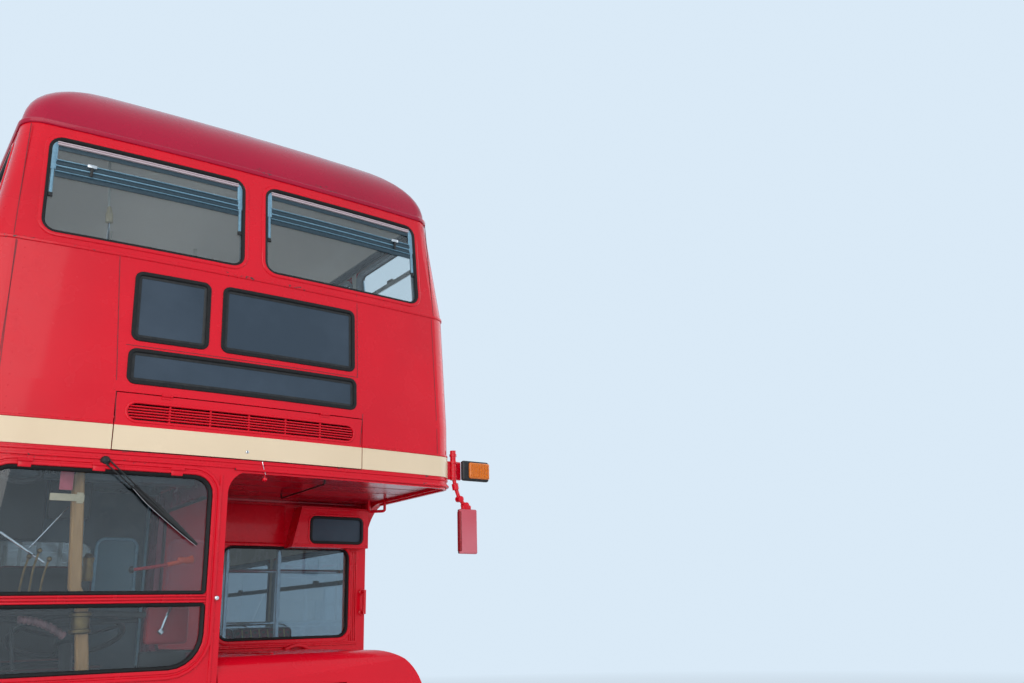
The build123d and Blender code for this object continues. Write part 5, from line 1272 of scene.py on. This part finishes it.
# Emergency window: seal and handle; rear wall: moulding, blank number panel, plate and its lamp
piece = Piece("rubber")
piece.ring("rear", (-0.580, 0.580), (3.310, 3.790), WINDOW_R, SEAL)
piece.use("chrome")
place = spot("rear", 0.0, 3.280, 0.004)
piece.block(place + Vector((-0.05, -0.004, -0.012)), place + Vector((0.05, 0.012, 0.012)), 0.005, 3)
piece.make("escape_trim", "black", "emergency_window")
piece = Piece("body_red")
piece.ring("rear", (-0.720, -0.300), (2.700, 3.000), 0.03, bead(0.010, 0.008))
piece.line("rear", (-0.640, 0.640), 3.225, bead(0.008, 0.006))
piece.use("blind")
piece.pane("rear", (-0.712, -0.308), (2.708, 2.992), 0.026, 0.003)
piece.use("plate")
piece.pane("rear", (0.30, 0.82), (1.08, 1.19), 0.01, 0.006)
piece.use("chrome")
piece.block((0.50, 4.175, 1.200), (0.62, 4.200, 1.225), 0.006)
piece.make("rear_trim", "body_red")

# Rear platform: nosing strips, pole collars, stair edge strips and handrails
piece = Piece("aluminium")
piece.block((1.150, 2.600, 0.396), (1.222, 3.980, 0.407), 0.003)
piece.block((-0.540, 2.572, 0.676), (1.160, 2.604, 0.687), 0.003)
for n in range(4, 9):
    y = 3.560 - 0.225 * (n - 4)
    z = 0.400 + 0.2222 * n
    piece.block((-1.145, y - 0.022, z - 0.004), (-0.565, y + 0.003, z + 0.005), 0.002)
piece.use("chrome")
for z, collar in (
    (0.402, [(0.045, -0.004), (0.045, 0.004), (0.024, 0.010), (0.021, 0.020)]),
    (2.298, [(0.021, -0.020), (0.024, -0.010), (0.045, -0.004), (0.045, 0.010)]),
):
    piece.turned(collar, (1.079, 3.3075, z), UP, 20)
piece.use("handrail")
for x, route in (
    (-0.520, ((3.50, 0.72), (3.50, 1.30), (2.55, 2.20), (2.40, 2.25))),
    (-0.500, ((2.02, 2.41), (2.02, 3.20), (3.60, 3.20), (3.60, 2.41))),
):
    piece.bent([(x, y, z) for y, z in route], 0.015, 0.08, 12)
piece.bent([(0.470, 2.62, 0.70), (0.470, 2.62, 2.29)], 0.016, 0.05, 12)
piece.make("platform_fittings", "handrail")

# Poles, rails, a rod with its grip and the ceiling lamps of both decks
piece = Piece("handrail")
for sign in (1, -1):
    for y in (-1.81, -1.07, -0.33, 0.41):
        piece.tube([(sign * 0.330, y, 1.55), (sign * 0.330, y, 2.30)], 0.015, 10)
    for y in (-2.12, -0.64, 0.84):
        piece.tube([(sign * 0.295, y, 3.30), (sign * 0.295, y, 4.25)], 0.014, 10)
piece.tube([(-0.640, -3.700, 3.690), (-0.676, -3.700, 4.150)], 0.007, 10)
piece.use("cream_tape")
toggle = [(0.008, 0.0), (0.019, 0.004), (0.019, 0.052), (0.016, 0.058), (0.012, 0.085), (0.007, 0.095)]
piece.turned(toggle, (-0.634, -3.700, 3.630), (-0.07, 0, 1), 14)
piece.use("chrome")
piece.tube([(-0.634, -3.700, 3.640), (-0.610, -3.700, 2.420)], 0.006, 10)
for x, foot in ((0.349, 0.69), (0.670, 1.035)):
    piece.tube([(x, -3.020, foot), (x, -3.020, 2.30)], 0.016, 12)
piece.tube([(0.349, -3.020, 1.90), (1.120, -3.020, 1.90)], 0.012, 10)
# These rails take rail_blue, whose dark blue is painted reflection
piece.use("rail_blue")
for sign in (1, -1):
    inside = sign * (section_at(3.90)[0] - 0.062)
    piece.tube([(inside, -3.95, 3.905), (inside, 3.85, 3.905)], 0.022, 12)
piece.use("lamp")
# Number in a row, place of the first, pitch, height and depth sunk in the ceiling
CEILING_LAMPS = [(5, 0.62, -2.6, 1.28, 2.308, 0.002), (6, 0.42, 0.30, 0.62, 4.290, 0.008)]
for sign in (1, -1):
    for count, x, y, pitch, z, top in CEILING_LAMPS:
        shade = [(0.045, top), (0.045, -0.012), (0.036, -0.030), (0.015, -0.040)]
        for n in range(count):
            piece.turned(shade, (sign * x, y + pitch * n, z), UP, 16)
piece.make("poles_and_lamps", "handrail")

# Tyres with ribs, grooves and lugs, wheel trims with nuts
RIBS = [
    (0.470, -0.128), (0.500, -0.118), (0.5075, -0.100), (0.509, -0.070), (0.496, -0.068), (0.496, -0.060),
    (0.5095, -0.058), (0.510, -0.025), (0.497, -0.023), (0.497, -0.015), (0.510, -0.013),
]
HALF_TYRE = [(0.262, -0.112), (0.330, -0.128), (0.400, -0.132), (0.445, -0.131), *RIBS]
TYRE = HALF_TYRE + [(r, -x) for r, x in HALF_TYRE[::-1]]
# Axle, names of body and tyre, tyres' places, outer faces of wheel and hub, radius of the hub's cap
WHEELS = [
    (FRONT_AXLE_Y, "front_wheel", "front_tyre", (1.0,), 1.044, 1.076, 0.088),
    (REAR_AXLE_Y, "rear_wheels", "rear_tyres", (0.745, 1.030), 0.960, 1.016, 0.098),
]
for axle, wheel, tyre, places, plate, cap, foot in WHEELS:
    for side, sign in (("nearside_", 1), ("offside_", -1)):
        outward = (sign, 0, 0)
        tyres = Piece("tyre")
        for x in places:
            centre = Vector((sign * x, axle, AXLE_Z))
            tyres.turned(TYRE, centre, (1, 0, 0), 72, True)
            for n in range(36):
                for half in (1, -1):
                    a = radians(10 * n + (5 if half > 0 else 0))
                    at = centre + Vector((0, cos(a), sin(a))) * 0.5005 + Vector((half * 0.110, 0, 0))
                    lug = Vector((0.012, 0.007, 0.014))
                    tyres.block(at - lug, at + lug, 0.002, 1, Matrix.Rotation(a, 4, "X"))
        tyres.make(side + tyre + "_tread", "tyre", side + wheel, [side + tyre], 30)
        trim = Piece("wheel_red")
        ring = [(0.228, 0.0), (0.240, 0.006), (0.246, 0.004), (0.250, -0.004), (0.238, -0.006)]
        trim.turned(ring, (sign * (places[-1] + 0.1095), axle, AXLE_Z), outward, 48, True)
        trim.use("chrome")
        for a in around(10):
            at = around_axle(sign * plate, axle, 0.150, a)
            trim.turned([(0.017, -0.002), (0.017, 0.016), (0.012, 0.020)], at, outward, 6)
            trim.turned([(0.009, 0.010), (0.009, 0.032), (0.006, 0.035)], at, outward, 10)
        trim.use("wheel_red")
        dome = [(foot, -0.004), (0.080, 0.006), (0.060, 0.012), (0.058, 0.018), (0.020, 0.022)]
        trim.turned(dome, (sign * cap, axle, AXLE_Z), outward, 32)
        for a in around(8, 0.5):
            at = around_axle(sign * (cap + 0.006), axle, 0.070, a)
            trim.turned([(0.006, -0.002), (0.006, 0.006), (0.004, 0.008)], at, outward, 6)
        trim.make(side + wheel + "_trim", "wheel_red", side + wheel)


# Seats: crowned cushions with pulled-in sides and piping
def cushion(piece, low, high, crown, face):
    """One padded block, crowned towards face (axis index and sign), its sides drawn in between corners."""
    low, high = Vector(low), Vector(high)
    size, middle = high - low, (low + high) / 2
    steps = [max(3, min(10, round(s / 0.055))) for s in size]
    made = bmesh.new()
    bmesh.ops.create_cube(made, size=1.0)
    for axis_index in range(3):
        edges = [e for e in made.edges if abs(abs((e.verts[1].co - e.verts[0].co)[axis_index]) - 1.0) < 1e-4]
        bmesh.ops.subdivide_edges(made, edges=edges, cuts=steps[axis_index] - 1, use_grid_fill=True)
    index, sign = face
    verts = []
    for vert in made.verts:  # s and out run from -1 to 1 across the block
        s = [2 * c for c in vert.co]
        out = list(s)
        for k in range(3):
            others = [n for n in range(3) if n != k]
            bulge = (1 - abs(s[others[0]]) ** 2.5) * (1 - abs(s[others[1]]) ** 2.5)
            if k == index and s[k] * sign > 0.99:
                out[k] = sign * (1 - 2 * crown / size[k] * (1 - bulge))
            elif abs(s[k]) > 0.99 and k != index:
                pull = 1 - s[others[0]] ** 2 if others[0] != index else 1 - s[others[1]] ** 2
                out[k] = copysign(1 - 2 * 0.006 / size[k] * pull - 2 * 0.004 / size[k], s[k])
            edge = max(abs(s[others[0]]), abs(s[others[1]]))
            if edge > 0.99 and abs(s[k]) > 0.99:
                out[k] = copysign(abs(out[k]) - 2 * 0.010 / size[k], s[k])
        verts.append(piece.bm.verts.new(middle + Vector([out[k] * size[k] / 2 for k in range(3)])))
    made.verts.index_update()
    for polygon in made.faces:
        piece.face([verts[v.index] for v in polygon.verts])
    made.free()
    held = piece.index
    piece.use("leather")
    flat = [k for k in range(3) if k != index]
    a, b = size[flat[0]] / 2 - 0.008, size[flat[1]] / 2 - 0.008
    pipe = []
    for ca, cb, start in ((1, 1, 0), (-1, 1, 90), (-1, -1, 180), (1, -1, 270)):
        for n in range(4):
            t = radians(start + 30 * n)
            point = middle.copy()
            point[flat[0]] += ca * (a - 0.03) + 0.03 * cos(t)
            point[flat[1]] += cb * (b - 0.03) + 0.03 * sin(t)
            point[index] += sign * (size[index] / 2 - crown - 0.006)
            pipe.append(point)
    normal = Vector((0, 0, 0))
    normal[index] = sign
    piece.sweep(pipe, normal, circle(0.0045, 6), True)
    piece.index = held


SEAT_HALF = 0.420
SEAT_PITCH = 0.740
CUSHION = 0.090  # thickness
CROWN = 0.018


def double_seat(piece, rails, x, y, floor):
    """Two seats and backs side by side, with a rail behind them: x is their middle, y their front edge."""
    low = floor + 0.340
    high = low + CUSHION
    for x0, x1 in ((x - SEAT_HALF + 0.001, x - 0.002), (x + 0.002, x + SEAT_HALF - 0.001)):
        cushion(piece, (x0, y, low), (x1, y + 0.420, high), CROWN, (2, 1))
        cushion(piece, (x0, y + 0.420, high), (x1, y + 0.490, low + 0.560), CROWN, (1, -1))
    x0, x1 = x - SEAT_HALF + 0.01, x + SEAT_HALF - 0.01
    corners = ((x0, 0.42), (x0, 0.585), (x1, 0.585), (x1, 0.42))
    rails.bent([(u, y + 0.5025, low + z) for u, z in corners], 0.0125, 0.06, 10)


upper, lower, rails = Piece("moquette"), Piece("moquette"), Piece("chrome")
WALL = 0.045
LOWER_X = HALF_WIDTH - WALL - 0.020 - SEAT_HALF
UPPER_X = HALF_WIDTH - WALL - 0.055 - SEAT_HALF
for n in range(4):
    for sign in (1, -1):
        double_seat(lower, rails, sign * LOWER_X, BULKHEAD_Y + 0.500 + SEAT_PITCH * n, LOWER_FLOOR_Z)
for sign, rows in ((1, 9), (-1, 7)):
    for n in range(rows):
        double_seat(upper, rails, sign * UPPER_X, FRONT_Y + 0.840 + SEAT_PITCH * n, UPPER_FLOOR_Z)
for sign in (1, -1):  # benches over the rear wheel boxes
    for k in range(3):
        y0 = REAR_AXLE_Y - 0.650 + 1.300 / 3 * k
        y0, y1 = y0 + 0.001, y0 + 0.432
        cushion(lower, *mirrored(sign, (0.600, y0, 1.080), (1.060, y1, 1.170)), CROWN, (2, 1))
        cushion(lower, *mirrored(sign, (1.060, y0, 1.170), (1.130, y1, 1.360)), 0.016, (0, -sign))
for piece, name in ((lower, "lower_seat_cushions"), (upper, "upper_seat_cushions")):
    obj = piece.make(name, "moquette", hides=["seat_cushions"], angle=60)
piece = Piece("dark_hide")
cushion(piece, (-0.880, -3.560, 1.350), (-0.420, -3.130, 1.440), 0.020, (2, 1))
cushion(piece, (-0.880, -3.200, 1.440), (-0.420, -3.130, 1.910), CROWN, (1, -1))
piece.make("driver_cushions", "moquette", hides=["seat_cushions"], angle=60)
rails.make("seat_back_rails", "handrail")

# Camera as the photograph was taken
az, el, roll = radians(36.923), radians(16.981), radians(-1.730)
forward = Vector((sin(az) * cos(el), cos(az) * cos(el), sin(el)))
right = Vector((cos(az), -sin(az), 0))
up = right.cross(forward)
right, up = cos(roll) * right + sin(roll) * up, cos(roll) * up - sin(roll) * right
camera = placed("camera", bpy.data.cameras.new("camera"))
rotation = Matrix((right, up, -forward)).transposed().to_4x4()
camera.matrix_world = Matrix.Translation((-1.6207, -8.5106, 1.5580)) @ rotation
camera.data.lens = 32.395
camera.data.sensor_width = 36.0
camera.data.clip_end = 500
bpy.context.scene.camera = camera

# Floor, sky and soft studio lamps
bm = bmesh.new()
bmesh.ops.create_grid(bm, x_segments=1, y_segments=1, size=120)
floor_mesh = bpy.data.meshes.new("stage_floor")
bm.to_mesh(floor_mesh)
bm.free()
floor = placed("stage_floor", floor_mesh)
SKY = (0.70, 0.82, 0.93)
FLOOR_FADE = (7.0, 24.0)  # distances between which the floor turns into the sky
s = Shade("stage_floor")
patch = s.level(s.noise(3.0, 5), 0.35, 0.65)
s.set(Base_Color=s.mix(patch, (0.60, 0.61, 0.62), (0.56, 0.57, 0.58)), Roughness=0.8)
away = s.node("VectorMath", {0: s.place}, operation="LENGTH").outputs["Value"]
rays = s.node("LightPath", {}).outputs
seen = s.math("MAXIMUM", rays["Is Glossy Ray"], rays["Is Transmission Ray"])
seen = s.math("MAXIMUM", rays["Is Camera Ray"], seen)
far = s.node("Emission", {"Color": (*SKY, 1), "Strength": 1.0})
s.blend(s.times(seen, s.level(away, *FLOOR_FADE)), far)
floor_mesh.materials.append(s.mat)
world = bpy.data.worlds.new("studio")
bpy.context.scene.world = world
world.use_nodes = True
# Rays from the camera, mirrors and glass see the sky, the others a dimmer light
tree = world.node_tree
background = tree.nodes["Background"]
dim = tree.nodes.new("ShaderNodeBackground")
for node, colour, strength in ((background, SKY, 1.0), (dim, (0.74, 0.84, 0.95), 0.8)):
    node.inputs["Color"].default_value = (*colour, 1)
    node.inputs["Strength"].default_value = strength
paths = tree.nodes.new("ShaderNodeLightPath")
pick = tree.nodes.new("ShaderNodeMixShader")
last = paths.outputs["Is Camera Ray"]
for kind in ("Is Glossy Ray", "Is Transmission Ray"):
    larger = tree.nodes.new("ShaderNodeMath")
    larger.operation = "MAXIMUM"
    tree.links.new(last, larger.inputs[0])
    tree.links.new(paths.outputs[kind], larger.inputs[1])
    last = larger.outputs[0]
for source, socket in zip((last, dim.outputs[0], background.outputs[0]), pick.inputs):
    tree.links.new(source, socket)
tree.links.new(pick.outputs[0], tree.nodes["World Output"].inputs[0])


def area_lamp(name, at, target, size, power, colour=(1, 1, 1)):
    """Soft rectangular lamp aimed at a point; glass and the camera don't see it."""
    data = bpy.data.lights.new(name, "AREA")
    data.shape = "RECTANGLE"
    data.size, data.size_y = size
    data.energy = power
    data.color = colour
    obj = placed(name, data)
    obj.location = at
    obj.rotation_euler = (Vector(target) - Vector(at)).to_track_quat("-Z", "Y").to_euler()
    obj.visible_camera = obj.visible_transmission = False
    return obj


area_lamp("key", (-8, -14, 6), (0, -2, 2.4), (17, 10), 1100, (1.0, 0.97, 0.93))
area_lamp("low_key", (-7, -13, 1.8), (0, -3, 1.8), (5, 3), 200, (1.0, 0.98, 0.95)).visible_glossy = False
area_lamp("fill", (14, -5, 7), (0, 0, 2.2), (15, 9), 850, (0.92, 0.96, 1.0))
area_lamp("back", (2, 14, 8), (0, 2, 2.4), (15, 9), 950).visible_glossy = False
for name, z, power in (("upper_deck", 3.2, 9), ("lower_deck", 1.3, 7)):
    area_lamp(name, (0, -0.2, z), (0, -0.2, z + 1), (0.5, 6.6), power).visible_glossy = False

bpy.context.scene.view_settings.view_transform = "Standard"
